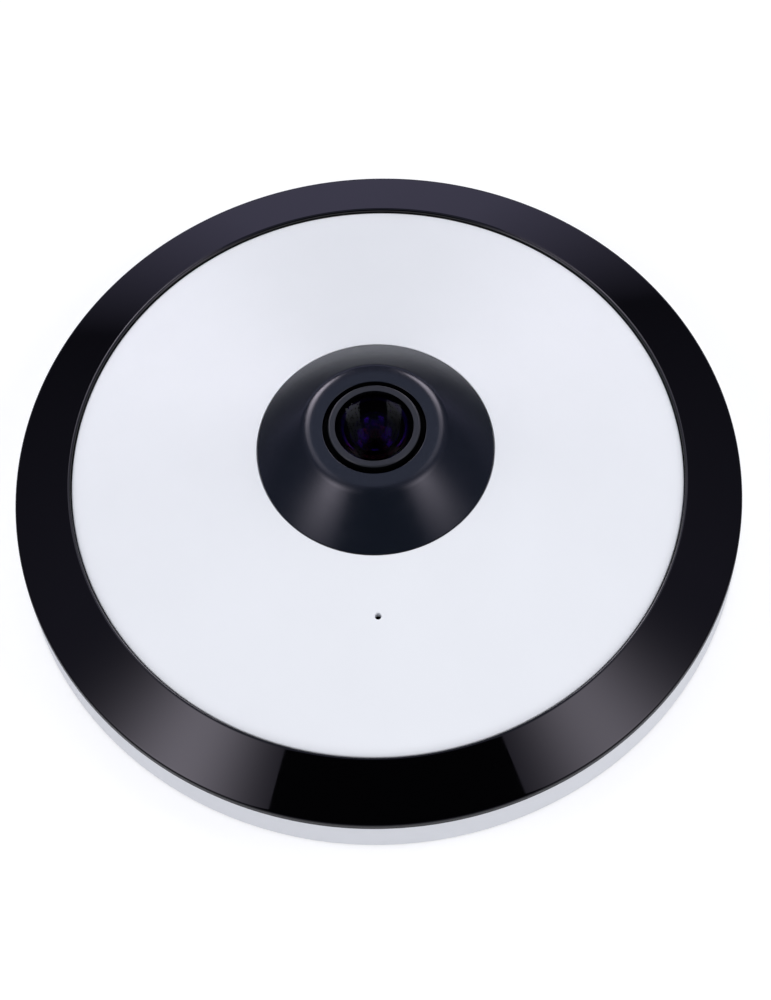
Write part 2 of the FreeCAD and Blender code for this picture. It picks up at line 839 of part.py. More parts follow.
def rear_housing():
    piece = Piece("rear_housing")
    piece.turn([
        (0, floor_low),
        (housing_inner, floor_low),
        (housing_inner, d.foot_lift),
        (foot_radius, d.foot_lift),
        (d.ring_radius, wall_top),
        (housing_inner, wall_top),
        (housing_inner, floor_top),
        (0, floor_top),
    ])
    lug = Sector(lug_inner, housing_inner + d.housing_wall / 2, d.tab_half_angle)
    piece.pad([lug], lug_low, d.lug_thickness, d.tab_angle, d.tab_count)
    well = [Circle(cover_screw_circle, 0, d.well_radius)]
    piece.pad(well, floor_top, d.well_height, d.tab_angle, d.tab_count)
    post = [Circle(board_screw_circle, 0, d.board_post_radius)]
    piece.pad(post, floor_top, d.board_post_height, d.board_screw_angle, d.board_screw_count)
    corners = corner_circles(sensor_screw_place, d.sensor_post_radius)
    piece.pad(corners, floor_top, d.sensor_post_height)
    guide = [Circle(0, reset_place, d.reset_guide_radius)]
    piece.pad(guide, floor_top, d.reset_guide_height)
    head_height = d.cover_screw_head_height + d.floor_thickness / 2
    head = [Circle(cover_screw_circle, 0, d.cover_screw_head + d.gap)]
    piece.pocket(head, floor_low + head_height, head_height, d.tab_angle, d.tab_count)
    shank = [Circle(cover_screw_circle, 0, d.cover_screw_radius + d.small_gap)]
    piece.pocket(shank, well_top, well_top - floor_low, d.tab_angle, d.tab_count)
    pilot = [Circle(board_screw_circle, 0, d.board_screw_radius + d.thread_gap)]
    pilot_depth = d.board_screw_bite + d.gap
    piece.pocket(pilot, board_low, pilot_depth, d.board_screw_angle, d.board_screw_count)
    sensor_pilot = corner_circles(sensor_screw_place, d.sensor_screw_radius + d.thread_gap)
    piece.pocket(sensor_pilot, sensor_board_low, d.sensor_screw_bite + d.gap)
    button_bore = [Circle(0, reset_place, d.reset_radius + d.fit_gap)]
    piece.pocket(button_bore, guide_top, guide_top - floor_low)
    jack_window = middle_box(-d.jack_place, as_size(0), d.jack_height + d.gap * 2,
                             d.jack_width + d.gap * 2)
    power_window = middle_box(d.power_place, d.power_side, d.power_width + d.gap * 2,
                              d.power_length + d.gap * 2)
    terminal_window = middle_box(d.power_place, -d.terminal_side, d.terminal_width + d.gap * 2,
                                 d.terminal_length + d.gap * 2)
    card_window = middle_box(as_size(0), card_side, d.card_width + d.gap * 2,
                             d.card_thickness + d.card_window_gap * 2)
    windows = [jack_window, power_window, terminal_window, card_window]
    piece.pocket(windows, floor_top, d.floor_thickness)
    lock_hole = [Circle(0, lock_level, d.lock_screw_radius + d.thread_gap)]
    piece.pocket(lock_hole, -(housing_inner - d.gap), d.housing_wall + d.gap * 2, plane="XZ_Plane")


def corner_circles(place, radius):
    """Four circles at the corners of a square about the lens axis."""
    return [Circle(x * place, y * place, radius) for x in (-1, 1) for y in (-1, 1)]


def lock_screw():
    piece = Piece("lock_screw")
    shank = [Circle(0, lock_level, d.lock_screw_radius)]
    shank_start = lock_tip + d.lock_tip_length
    shank_length = d.ring_radius - d.lock_screw_inset - shank_start
    piece.pad(shank, -(shank_start + shank_length), shank_length, plane="XZ_Plane")
    tip = [Circle(0, lock_level, d.lock_tip_radius)]
    piece.pad(tip, -shank_start, d.lock_tip_length, plane="XZ_Plane")
    socket = [Circle(0, lock_level, d.lock_tip_radius)]
    key_depth = shank_length / 2
    piece.pocket(socket, -(shank_start + shank_length - key_depth), key_depth, plane="XZ_Plane")


def rim_gasket():
    piece = Piece("rim_gasket")
    high = wall_top - d.skirt_depth
    piece.turn([
        (skirt_inner, floor_top),
        (skirt_outer, floor_top),
        (skirt_outer, high),
        (skirt_inner, high),
    ])


def ir_window_ring():
    piece = Piece("ir_window_ring")
    skirt_low = wall_top - d.skirt_depth
    ledge_inner = lip_radius - d.ledge_width
    ledge_low = ledge_top - d.ledge_thickness
    wall_inner = lip_radius + d.ring_wall
    bevel = (lip_radius + d.lip_bevel, height_on(ring_outer, ring_lip, lip_radius + d.lip_bevel))
    across = ring_outer[0] - ring_lip[0]
    slope_length = root_of(across * across + d.ring_rise * d.ring_rise)
    rim_turn = (d.ring_radius - d.rim_round * across / slope_length,
                rim_top + d.rim_round * d.ring_rise / slope_length)
    rim_arc = d.rim_round * (slope_length + d.ring_rise) / across
    piece.turn([
        (skirt_inner, skirt_low),
        (skirt_outer, skirt_low),
        (skirt_outer, wall_top),
        (d.ring_radius, wall_top),
        (d.ring_radius, rim_top - d.rim_round, -rim_arc),
        rim_turn,
        bevel,
        (lip_radius, bevel[1] - d.lip_bevel),
        (lip_radius, ledge_top),
        (ledge_inner, ledge_top),
        (ledge_inner, ledge_low),
        (wall_inner, ledge_low),
        (wall_inner, height_on(*ring_under, wall_inner)),
        (skirt_inner, height_on(*ring_under, skirt_inner)),
    ])


def front_cover():
    piece = Piece("front_cover")
    rim_inner = disc_radius - d.cover_rim_width
    piece.turn([
        (disc_radius, ledge_top),
        disc_edge,
        (seat_radius, height_on(disc_edge, shroud_foot, seat_radius)),
        (seat_radius, seat_level),
        (cover_opening, seat_level),
        (cover_opening, seat_low),
        (radius_on(*disc_under, seat_low), seat_low),
        (rim_inner, height_on(*disc_under, rim_inner)),
        (rim_inner, ledge_top),
    ])
    boss_top = middle_of_cover(cover_screw_circle)
    boss = [Circle(cover_screw_circle, 0, d.boss_radius)]
    piece.pad(boss, well_top, boss_top - well_top, d.tab_angle, d.tab_count)
    pilot = [Circle(cover_screw_circle, 0, d.cover_screw_radius + d.thread_gap)]
    pilot_depth = d.cover_screw_bite + d.gap
    piece.pocket(pilot, well_top + pilot_depth, pilot_depth, d.tab_angle, d.tab_count)
    mic_low = mic_boot_low + d.mic_height
    mic_boss = [Circle(0, -d.mic_place, mic_boot_radius + d.fit_gap + d.mic_boss_wall)]
    piece.pad(mic_boss, mic_low, middle_of_cover(d.mic_place) - mic_low)
    mic_bore = [Circle(0, -d.mic_place, mic_boot_radius + d.fit_gap)]
    piece.pocket(mic_bore, mic_boot_top, mic_boot_top - mic_low)
    hole_top = shroud_foot[1]
    mic_hole = [Circle(0, -d.mic_place, d.mic_hole_radius)]
    piece.pocket(mic_hole, hole_top, hole_top - mic_boot_top)
    screw_hole = [Circle(shroud_screw_circle, 0, d.shroud_screw_radius + d.small_gap)]
    piece.pocket(screw_hole, seat_level, d.shroud_seat_thickness, lock_angle, d.shroud_screw_count)


def middle_of_cover(radius):
    """Height of the middle of the cover's wall at a radius."""
    outside = height_on(disc_edge, shroud_foot, radius)
    inside = height_on(*disc_under, radius)
    return (outside + inside) / 2


def lens_shroud():
    piece = Piece("lens_shroud")
    shelf_level = seat_level + d.shroud_shelf
    shelf_radius = radius_on(*flank_under, shelf_level)
    piece.turn([
        (shroud_skirt_inner, seat_level - d.shroud_skirt_depth),
        (shroud_skirt_outer, seat_level - d.shroud_skirt_depth),
        (shroud_skirt_outer, seat_level),
        (d.shroud_radius, seat_level),
        shroud_foot,
        (shoulder[0], shoulder[1], -d.shoulder_round),
        crest,
        (opening_radius, opening_level),
        (opening_radius, flange_low),
        (neck_radius, flange_low),
        (shelf_radius, shelf_level),
        (shroud_skirt_inner, shelf_level),
    ])
    pilot = [Circle(shroud_screw_circle, 0, d.shroud_screw_radius + d.thread_gap)]
    pilot_depth = d.shroud_screw_bite + d.small_gap
    piece.pocket(pilot, seat_level + pilot_depth, pilot_depth, lock_angle, d.shroud_screw_count)


def screws(label, place, radius, head, seat, head_height, bite, spin, copies, upward):
    """A ring of screws whose heads sit on a level and whose shanks run up or down from it."""
    piece = Piece(label)
    head_shape = [Circle(place, 0, head)]
    shank_shape = [Circle(place, 0, radius)]
    slot_shape = [Circle(place, 0, radius)]
    slot_depth = head_height / 2
    if upward:
        piece.pad(head_shape, seat - head_height, head_height, spin, copies)
        piece.pad(shank_shape, seat, bite, spin, copies)
        piece.pocket(slot_shape, seat - head_height + slot_depth, slot_depth, spin, copies)
    else:
        piece.pad(head_shape, seat, head_height, spin, copies)
        piece.pad(shank_shape, seat - bite, bite, spin, copies)
        piece.pocket(slot_shape, seat + head_height, slot_depth, spin, copies)


def all_screws():
    head_seat = floor_low + d.cover_screw_head_height + d.floor_thickness / 2
    screws("cover_screws", cover_screw_circle, d.cover_screw_radius, d.cover_screw_head, head_seat,
           d.cover_screw_head_height, well_top - head_seat + d.cover_screw_bite, d.tab_angle,
           d.tab_count, upward=True)
    screws("board_screws", board_screw_circle, d.board_screw_radius, d.board_screw_head, board_top,
           d.board_screw_head_height, d.board_thickness + d.board_screw_bite, d.board_screw_angle,
           d.board_screw_count, upward=False)
    screws("shroud_screws", shroud_screw_circle, d.shroud_screw_radius, d.shroud_screw_head, seat_low,
           d.shroud_screw_head_height, d.shroud_seat_thickness + d.shroud_screw_bite, lock_angle,
           d.shroud_screw_count, upward=True)
    sensor_screws()


def sensor_screws():
    """Alike screws: four hold the sensor board from above and two the lens holder from below."""
    piece = Piece("sensor_screws")
    shank_length = d.sensor_board_thickness + d.sensor_screw_bite
    place = sensor_screw_place
    piece.pad(corner_circles(place, d.sensor_screw_head), sensor_board_top, d.sensor_screw_head_height)
    piece.pad(corner_circles(place, d.sensor_screw_radius), sensor_board_top - shank_length, shank_length)
    spread = d.holder_ear_spread
    head_low = sensor_board_low - d.sensor_screw_head_height
    piece.pad(ear_circles(spread, d.sensor_screw_head), head_low, d.sensor_screw_head_height)
    piece.pad(ear_circles(spread, d.sensor_screw_radius), sensor_board_low, shank_length)


def ear_circles(place, radius):
    """Two circles at the ears of the lens holder."""
    return [Circle(side * place, ear_side, radius) for side in (-1, 1)]


def lamp_carrier():
    piece = Piece("ir_lamp_carrier")
    piece.turn([
        (carrier_inner, floor_top),
        (carrier_outer, floor_top),
        (carrier_outer, carrier_top),
        (carrier_inner, carrier_top),
    ])
    depth = d.lamp_screw_bite - d.lamp_board_thickness + d.gap
    holes = lamp_screw_circles(d.lamp_screw_radius + d.thread_gap)
    piece.pocket(holes, carrier_top, depth, d.lamp_angle, d.lamp_count)


def lamp_screw_circles(radius):
    """The two screw places on a lamp board, either side of its lamp."""
    across = lamp_circle * sine_of(d.lamp_screw_spread)
    return [Circle(lamp_circle - d.lamp_screw_inset, side * across, radius) for side in (-1, 1)]


def lamps():
    """The infrared lamps on their boards, with two screws in each board."""
    board = Piece("ir_lamp_boards")
    lamp = Piece("ir_lamps")
    screw = Piece("lamp_screws")
    count = d.lamp_count
    angle = d.lamp_angle
    inner = carrier_inner + d.lamp_board_inset
    outer = carrier_outer - d.lamp_board_inset
    plate = [Sector(inner, outer, d.lamp_board_half_angle)]
    board.pad(plate, carrier_top, d.lamp_board_thickness, angle, count)
    holes = lamp_screw_circles(d.lamp_screw_radius + d.small_gap)
    board.pocket(holes, lamp_board_top, d.lamp_board_thickness, angle, count)
    base = [middle_box(lamp_circle, as_size(0), d.lamp_width, d.lamp_width)]
    lamp.pad(base, lamp_board_top, d.lamp_base_height, angle, count)
    lens = [Circle(lamp_circle, 0, d.lamp_lens_radius)]
    lamp.pad(lens, lamp_board_top + d.lamp_base_height, d.lamp_lens_height, angle, count)
    heads = lamp_screw_circles(d.lamp_screw_head)
    screw.pad(heads, lamp_board_top, d.lamp_screw_head_height, angle, count)
    shanks = lamp_screw_circles(d.lamp_screw_radius)
    screw.pad(shanks, lamp_board_top - d.lamp_screw_bite, d.lamp_screw_bite, angle, count)


def lamp_leads():
    piece = Piece("ir_lamp_leads")
    start = board_outer - d.lead_inset
    finish = carrier_inner + d.lead_radius + d.gap
    level = board_low - d.lead_drop
    route = Route([(start, board_low), (start, level), (finish, level), (finish, lamp_board_top)],
                  [d.lead_bend, d.lead_end_bend])
    piece.pipe(Circle(0, start, d.lead_radius), route, "XY_Plane", board_low, d.lamp_count)


def light_sensor():
    piece = Piece("light_sensor")
    width = d.light_sensor_width
    place = middle_box(lamp_circle, as_size(0), width, width)
    spin = d.lamp_angle + d.light_sensor_angle / 2
    piece.pad([place], lamp_board_top, d.light_sensor_height, spin)


def main_board():
    piece = Piece("main_board")
    piece.pad([Circle(0, 0, board_outer), Circle(0, 0, board_inner)], board_low, d.board_thickness)
    screw_hole = [Circle(board_screw_circle, 0, d.board_screw_radius + d.small_gap)]
    piece.pocket(screw_hole, board_top, d.board_thickness, d.board_screw_angle, d.board_screw_count)
    slot = middle_box(as_size(0), card_side, socket_width + d.small_gap, socket_depth + d.small_gap)
    piece.pocket([slot], board_top, d.board_thickness)


def board_chips():
    half = d.soc_width / 2
    soc_top = board_top + d.soc_height
    block("soc_chip", d.soc_place - half, -half, board_top, d.soc_width, d.soc_width, d.soc_height)
    pad_width = d.soc_width - d.pad_inset * 2
    block("thermal_pad", d.soc_place - pad_width / 2, -(pad_width / 2), soc_top, pad_width, pad_width,
          d.pad_thickness)
    heat_sink(soc_top + d.pad_thickness)
    memory = Piece("memory_chips")
    chips = [middle_box(side * d.memory_spacing / 2, d.memory_place, d.memory_length, d.memory_width)
             for side in (-1, 1)]
    memory.pad(chips, board_top, d.memory_height)
    transformer_low = d.transformer_shift - d.jack_place - d.transformer_length / 2
    block("ethernet_transformer", transformer_low, -(d.transformer_width / 2), board_top,
          d.transformer_length, d.transformer_width, d.transformer_height)
    inductors = Piece("power_inductors")
    screw_x = board_screw_circle * sine_of(QUARTER_TURN - d.board_screw_angle)
    inductor_x = screw_x - d.board_screw_head - d.inductor_clearance - d.inductor_width / 2
    coils = [middle_box(side * inductor_x, -d.inductor_place, d.inductor_width, d.inductor_width)
             for side in (-1, 1)]
    inductors.pad(coils, board_top, d.inductor_height)
    capacitors = Piece("board_capacitors")
    for turn in (-1, 0, 1):
        spin = d.capacitor_angle + turn * d.capacitor_spacing
        can = [Circle(d.capacitor_circle, 0, d.capacitor_radius)]
        capacitors.pad(can, board_top, d.capacitor_height, spin)
    battery = Piece("backup_battery")
    battery.pad([Circle(d.battery_circle, 0, d.battery_radius)], board_top, d.battery_height,
                d.battery_angle)


def heat_sink(low):
    piece = Piece("heat_sink")
    base = middle_box(d.soc_place, as_size(0), d.sink_width, d.sink_width)
    piece.pad([base], low, d.sink_base)
    corner = corner_radius(d.soc_place + d.sink_width / 2, d.sink_width / 2)
    fin_top = height_on(*disc_under, corner) - d.sink_clearance
    fin_low = low + d.sink_base
    pitch = (d.sink_width - d.fin_width) / (d.fin_count - 1)
    side = -(d.sink_width / 2)
    fins = []
    for index in range(SIZES["fin_count"]):
        start = side + pitch * index
        fins.append(box(d.soc_place - d.sink_width / 2, start, d.soc_place + d.sink_width / 2,
                        start + d.fin_width))
    piece.pad(fins, fin_low, fin_top - fin_low)


def network_jack():
    piece = Piece("rj45_jack")
    shell = middle_box(-d.jack_place, as_size(0), d.jack_height, d.jack_width)
    piece.pad([shell], floor_low, board_low - floor_low)
    mouth = middle_box(-d.jack_place, as_size(0), d.jack_mouth_height, d.jack_mouth_width)
    piece.pocket([mouth], floor_low + d.jack_mouth_depth, d.jack_mouth_depth)
    contacts = Piece("rj45_contacts")
    x_low = -d.jack_place - d.jack_mouth_height / 2
    span = d.contact_pitch * (d.contact_count - 1)
    wires = []
    for index in range(SIZES["contact_count"]):
        y = d.contact_pitch * index - span / 2
        wires.append(box(x_low, y - d.contact_width / 2, x_low + d.contact_thickness,
                         y + d.contact_width / 2))
    contact_top = floor_low + d.jack_mouth_depth
    contacts.pad(wires, contact_top - d.contact_length, d.contact_length)


def power_jack():
    piece = Piece("dc_jack")
    shell = middle_box(d.power_place, d.power_side, d.power_width, d.power_length)
    piece.pad([shell], floor_low, board_low - floor_low)
    bore = [Circle(d.power_place, d.power_side, d.power_bore)]
    piece.pocket(bore, floor_low + d.power_depth, d.power_depth)
    pin = Piece("dc_jack_pin")
    pin_shape = [Circle(d.power_place, d.power_side, d.power_pin)]
    pin.pad(pin_shape, floor_low + d.power_pin_recess, d.power_depth - d.power_pin_recess)


def terminal_block():
    piece = Piece("io_terminal_block")
    shell = middle_box(d.power_place, -d.terminal_side, d.terminal_width, d.terminal_length)
    piece.pad([shell], floor_low, board_low - floor_low)
    span = d.terminal_pitch * (d.terminal_count - 1)
    entries = []
    for index in range(SIZES["terminal_count"]):
        y = d.terminal_pitch * index - span / 2 - d.terminal_side
        for side in (-1, 1):
            x = d.power_place + side * d.terminal_width / 4
            entries.append(middle_box(x, y, d.terminal_entry, d.terminal_entry))
    piece.pocket(entries, floor_low + d.terminal_entry_depth, d.terminal_entry_depth)


def card_socket():
    piece = Piece("microsd_socket")
    shell = middle_box(as_size(0), card_side, socket_width, socket_depth)
    piece.pad([shell], socket_low, socket_cavity_top + d.card_socket_wall - socket_low)
    cavity = middle_box(as_size(0), card_side, d.card_width + d.card_gap * 2,
                        d.card_thickness + d.card_gap * 2)
    piece.pocket([cavity], socket_cavity_top, socket_cavity_top - socket_low)
    block("microsd_card", -(d.card_width / 2), card_side - d.card_thickness / 2, card_low,
          d.card_width, d.card_thickness, d.card_length)


def reset_parts():
    switch = Piece("reset_switch")
    switch.pad([middle_box(as_size(0), reset_place, d.switch_width, d.switch_width)], switch_low,
               d.switch_height)
    well = [Circle(0, reset_place, d.reset_tip_radius + d.gap)]
    switch.pocket(well, switch_low + d.switch_well_depth, d.switch_well_depth)
    button = Piece("reset_button")
    low = floor_low + d.reset_recess
    tip_low = switch_low - d.gap - d.reset_travel
    flange_rest = guide_top + d.small_gap
    button.pad([Circle(0, reset_place, d.reset_radius)], low, tip_low - low)
    button.pad([Circle(0, reset_place, d.reset_flange)], flange_rest, d.reset_flange_height)
    button.pad([Circle(0, reset_place, d.reset_tip_radius)], tip_low, d.reset_tip_length)


def microphone():
    capsule = Piece("microphone_capsule")
    capsule.pad([Circle(0, -d.mic_place, d.mic_radius)], board_top, d.mic_height)
    boot = Piece("microphone_boot")
    boot.pad([Circle(0, -d.mic_place, mic_boot_radius)], mic_boot_low, d.mic_boot_height)
    seat = board_top + d.mic_height
    boot.pocket([Circle(0, -d.mic_place, d.mic_radius + d.fit_gap)], seat, seat - mic_boot_low)
    boot.pocket([Circle(0, -d.mic_place, d.mic_hole_radius)], mic_boot_top, mic_boot_top - seat)


def sensor_parts():
    board = Piece("sensor_board")
    width = sensor_board_width
    board.pad([middle_box(as_size(0), as_size(0), width, width)], sensor_board_low,
              d.sensor_board_thickness)
    holes = corner_circles(sensor_screw_place, d.sensor_screw_radius + d.small_gap)
    holes += ear_circles(d.holder_ear_spread, d.sensor_screw_radius + d.small_gap)
    board.pocket(holes, sensor_board_top, d.sensor_board_thickness)
    block("image_sensor", -(d.sensor_length / 2), -(d.sensor_width / 2), sensor_board_top,
          d.sensor_length, d.sensor_width, d.sensor_height)
    inset = d.sensor_glass_inset
    block("sensor_cover_glass", inset - d.sensor_length / 2, inset - d.sensor_width / 2,
          sensor_board_top + d.sensor_height, d.sensor_length - inset * 2,
          d.sensor_width - inset * 2, d.sensor_glass_thickness)
    connectors = Piece("flex_connectors")
    levels = (sensor_board_top, board_low - d.connector_height)
    for y, level in zip((connector_near, connector_far), levels):
        shell = middle_box(as_size(0), y + d.connector_depth / 2, d.connector_width, d.connector_depth)
        connectors.pad([shell], level, d.connector_height)
    cable = Piece("sensor_flex_cable")
    start = connector_near + d.connector_depth
    middle = (start + connector_far) / 2
    low = sensor_board_top + d.connector_height / 2
    high = board_low - d.connector_height / 2
    route = Route([(start, low), (middle, low), (middle, high), (connector_far, high)],
                  [d.flex_bend, d.flex_bend])
    section = middle_box(as_size(0), low, d.flex_width, d.flex_thickness)
    cable.pipe(section, route, "XZ_Plane", -start)


def filter_switch():
    tray = Piece("ircut_tray")
    outer = box(-tray_outer_x, tray_outer_low, tray_outer_x, tray_outer_high)
    inner = box(-tray_inner_x, tray_inner_low, tray_inner_x, tray_inner_high)
    tray.pad([outer], tray_low, d.tray_height)
    tray.pocket([inner], tray_top, tray_top - tray_floor)
    window = middle_box(as_size(0), as_size(0), d.light_window, d.light_window)
    tray.pocket([window], tray_floor, d.tray_base)
    inset = d.tray_foot_radius
    feet = [Circle(x * (tray_outer_x - inset), y, inset)
            for x in (-1, 1) for y in (tray_outer_low + inset, tray_outer_high - inset)]
    tray.pad(feet, sensor_board_top, tray_low - sensor_board_top)
    cover = Piece("ircut_cover")
    cover.pad([outer], tray_top, d.tray_cover_thickness)
    cover.pocket([window], tray_top + d.tray_cover_thickness, d.tray_cover_thickness)
    carriage_and_filters()
    coil = Piece("ircut_coil")
    coil_width = (magnet_middle - d.sensor_width / 2 - d.coil_clearance) * 2
    coil_low = tray_low - d.coil_height
    coil.pad([middle_box(as_size(0), magnet_middle, d.coil_length, coil_width)], coil_low, d.coil_height)
    inside = middle_box(as_size(0), magnet_middle, d.coil_length - d.coil_wire * 2,
                        coil_width - d.coil_wire * 2)
    coil.pocket([inside], tray_low, d.coil_height)


def carriage_and_filters():
    carriage = Piece("ircut_carriage")
    plate = box(carriage_left, carriage_low_side, carriage_left + carriage_half * 2,
                carriage_low_side + d.carriage_width)
    carriage.pad([plate], carriage_low, d.carriage_thickness)
    centres = (as_size(0), -filter_pitch)
    openings = [middle_box(x, as_size(0), d.filter_window, d.filter_window) for x in centres]
    carriage.pocket(openings, carriage_top, d.carriage_thickness)
    recess_width = d.filter_width + d.small_gap
    recesses = [middle_box(x, as_size(0), recess_width, recess_width) for x in centres]
    carriage.pocket(recesses, carriage_top, d.filter_recess)
    magnet_x = -(filter_pitch / 2)
    slot = middle_box(magnet_x, magnet_middle, d.magnet_length + d.small_gap,
                      d.magnet_width + d.small_gap)
    carriage.pocket([slot], carriage_top, d.magnet_height)
    block("carriage_magnet", magnet_x - d.magnet_length / 2, magnet_side,
          carriage_top - d.magnet_height, d.magnet_length, d.magnet_width, d.magnet_height)
    for label, x in zip(("ir_cut_filter", "clear_filter"), centres):
        block(label, x - d.filter_width / 2, -(d.filter_width / 2), carriage_top - d.filter_recess,
              d.filter_width, d.filter_width, d.filter_thickness)


def lens_holder():
    piece = Piece("lens_holder")
    outer = box(-holder_x, holder_low, holder_x, holder_high)
    piece.pad([outer], sensor_board_top, deck_top - sensor_board_top)
    piece.pad([Circle(0, 0, d.holder_tube_radius)], deck_low, tube_top - deck_low)
    piece.pad(ear_circles(d.holder_ear_spread, d.holder_ear_radius), sensor_board_top, d.holder_ear_height)
    webs = [box(x * d.holder_ear_spread - d.holder_ear_radius, ear_side,
                x * d.holder_ear_spread + d.holder_ear_radius, holder_low + d.holder_wall / 2)
            for x in (-1, 1)]
    piece.pad(webs, sensor_board_top, d.holder_ear_height)
    wall = d.holder_wall
    cavity = box(wall - holder_x, holder_low + wall, holder_x - wall, holder_high - wall)
    piece.pocket([cavity], deck_low, deck_low - sensor_board_top)
    piece.pocket([Circle(0, 0, d.barrel_radius + d.fit_gap)], tube_top, tube_top - deck_low)
    pilots = ear_circles(d.holder_ear_spread, d.sensor_screw_radius + d.thread_gap)
    pilot_depth = d.sensor_screw_bite + d.small_gap
    piece.pocket(pilots, sensor_board_top + pilot_depth, pilot_depth)


def lens_barrel():
    piece = Piece("lens_barrel")
    piece.turn([
        (d.rear_bore, barrel_rear),
        (d.barrel_radius, barrel_rear),
        (d.barrel_radius, barrel_head_low),
        (barrel_head_radius, barrel_head_low),
        (barrel_head_radius, glass_back),
        (front_bore, glass_back),
        (front_bore, second_level),
        (d.middle_bore, second_level),
        (d.middle_bore, middle_level),
        (d.stop_bore, middle_level),
        (d.stop_bore, stop_level),
        (d.rear_bore, stop_level),
    ])


def lens_rings():
    lock = Piece("lens_lock_ring")
    inner = d.barrel_radius + d.fit_gap
    lock.turn([
        (inner, tube_top),
        (d.lock_ring_radius, tube_top),
        (d.lock_ring_radius, tube_top + d.lock_ring_height),
        (inner, tube_top + d.lock_ring_height),
    ])
    front = Piece("lens_front_ring")
    bottom = lens_front - d.lens_ring_height
    chamfer = d.lens_ring_chamfer
    lip_low = lens_front - d.glass_lip + d.fit_gap
    front.turn([
        (barrel_head_radius + d.fit_gap, bottom),
        (d.lens_ring_radius, bottom),
        (d.lens_ring_radius, lens_front - chamfer),
        (d.lens_ring_radius - chamfer, lens_front),
        (glass_radius, lens_front),
        (glass_radius, lip_low),
        (glass_edge + d.fit_gap, lip_low),
        (glass_edge + d.fit_gap, glass_back),
        (barrel_head_radius + d.fit_gap, glass_back),
    ])
    rear = Piece("lens_rear_ring")
    ring_low = rear_glass_low - d.rear_ring_height
    outer = d.rear_bore - d.fit_gap
    rear.turn([
        (d.rear_ring_inner, ring_low),
        (outer, ring_low),
        (outer, rear_glass_low),
        (d.rear_ring_inner, rear_glass_low),
    ])
    stop = Piece("aperture_stop")
    stop.turn([
        (d.stop_hole, stop_level - d.stop_thickness),
        (outer, stop_level - d.stop_thickness),
        (outer, stop_level),
        (d.stop_hole, stop_level),
    ])


def front_glass():
    piece = Piece("lens_front_glass")
    edge = glass_radius - d.fit_gap
    edge_level = dome_top - sagitta(d.dome_radius, edge)
    shoulder_level = lens_front - d.glass_lip
    bowl = d.glass_bowl_depth
    bowl_radius = (d.glass_bowl_edge * d.glass_bowl_edge + bowl * bowl) / (bowl * 2)
    piece.turn([
        (0, dome_top, d.dome_radius),
        (edge, edge_level),
        (edge, shoulder_level),
        (glass_edge, shoulder_level),
        (glass_edge, glass_back),
        (d.glass_bowl_edge, glass_back, -bowl_radius),
        (0, glass_back + bowl),
    ])


def inner_glasses():
    second = Piece("lens_second_glass")
    edge = front_bore - d.fit_gap
    top = second_level + d.second_glass_height
    second.turn([
        (0, top + sagitta(d.second_glass_top, edge), d.second_glass_top),
        (edge, top),
        (edge, second_level),
        (d.second_glass_bowl_edge, second_level, -d.second_glass_bowl),
        (0, second_level + sagitta(d.second_glass_bowl, d.second_glass_bowl_edge)),
    ])
    middle = Piece("lens_middle_glass")
    edge = d.middle_bore - d.fit_gap
    top = middle_level + d.middle_glass_height
    middle.turn([
        (0, top + sagitta(d.middle_glass_radius, edge), d.middle_glass_radius),
        (edge, top),
        (edge, middle_level),
        (0, middle_level),
    ])
    rear = Piece("lens_rear_glass")
    edge = d.rear_bore - d.fit_gap
    top = stop_level - d.stop_thickness
    bulge_edge = d.rear_ring_inner - d.fit_gap
    rear.turn([
        (0, top),
        (edge, top),
        (edge, rear_glass_low),
        (bulge_edge, rear_glass_low, d.rear_glass_radius),
        (0, rear_glass_low - sagitta(d.rear_glass_radius, bulge_edge)),
    ])


def lens_seal():
    piece = Piece("lens_seal")
    inner = d.lens_ring_radius + d.fit_gap
    outer = neck_radius - d.seal_inset
    piece.turn([
        (inner, flange_low - d.seal_height),
        (outer, flange_low - d.seal_height),
        (outer, flange_low),
        (inner, flange_low),
    ])


def check_model():
    """Stop unless every object computed, and every sub-part is a valid solid."""
    for item in doc.Objects:
        if "Invalid" in item.State or "Error" in item.State:
            raise RuntimeError(f"{item.Label} failed: {item.State}")
        if item.TypeId == "PartDesign::Pocket" and item.Shape.Volume >= item.BaseFeature.Shape.Volume:
            raise RuntimeError(f"{item.Label} in {item.getParentGeoFeatureGroup().Label} cuts nothing")
    for item in PIECES:
        if item.Shape.isNull() or not item.Shape.isValid() or not item.Shape.Solids:
            raise RuntimeError(f"{item.Label} is not a valid solid")


def write_steps():
    os.makedirs("parts", exist_ok=True)
    for item in PIECES:
        item.Shape.exportStep(f"parts/{item.Label}.step")


mount_bracket()
rear_housing()
lock_screw()
rim_gasket()
ir_window_ring()
front_cover()
lens_shroud()
all_screws()
lamp_carrier()
lamps()
lamp_leads()
light_sensor()
main_board()
board_chips()
network_jack()
power_jack()
terminal_block()
card_socket()
reset_parts()
microphone()
sensor_parts()
filter_switch()
lens_holder()
lens_barrel()
lens_rings()
front_glass()
inner_glasses()
lens_seal()
doc.recompute()
check_model()
write_steps()
print(len(PIECES), "pieces written")
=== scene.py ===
import json
import math

import bmesh
import bpy
from mathutils import Matrix, Vector


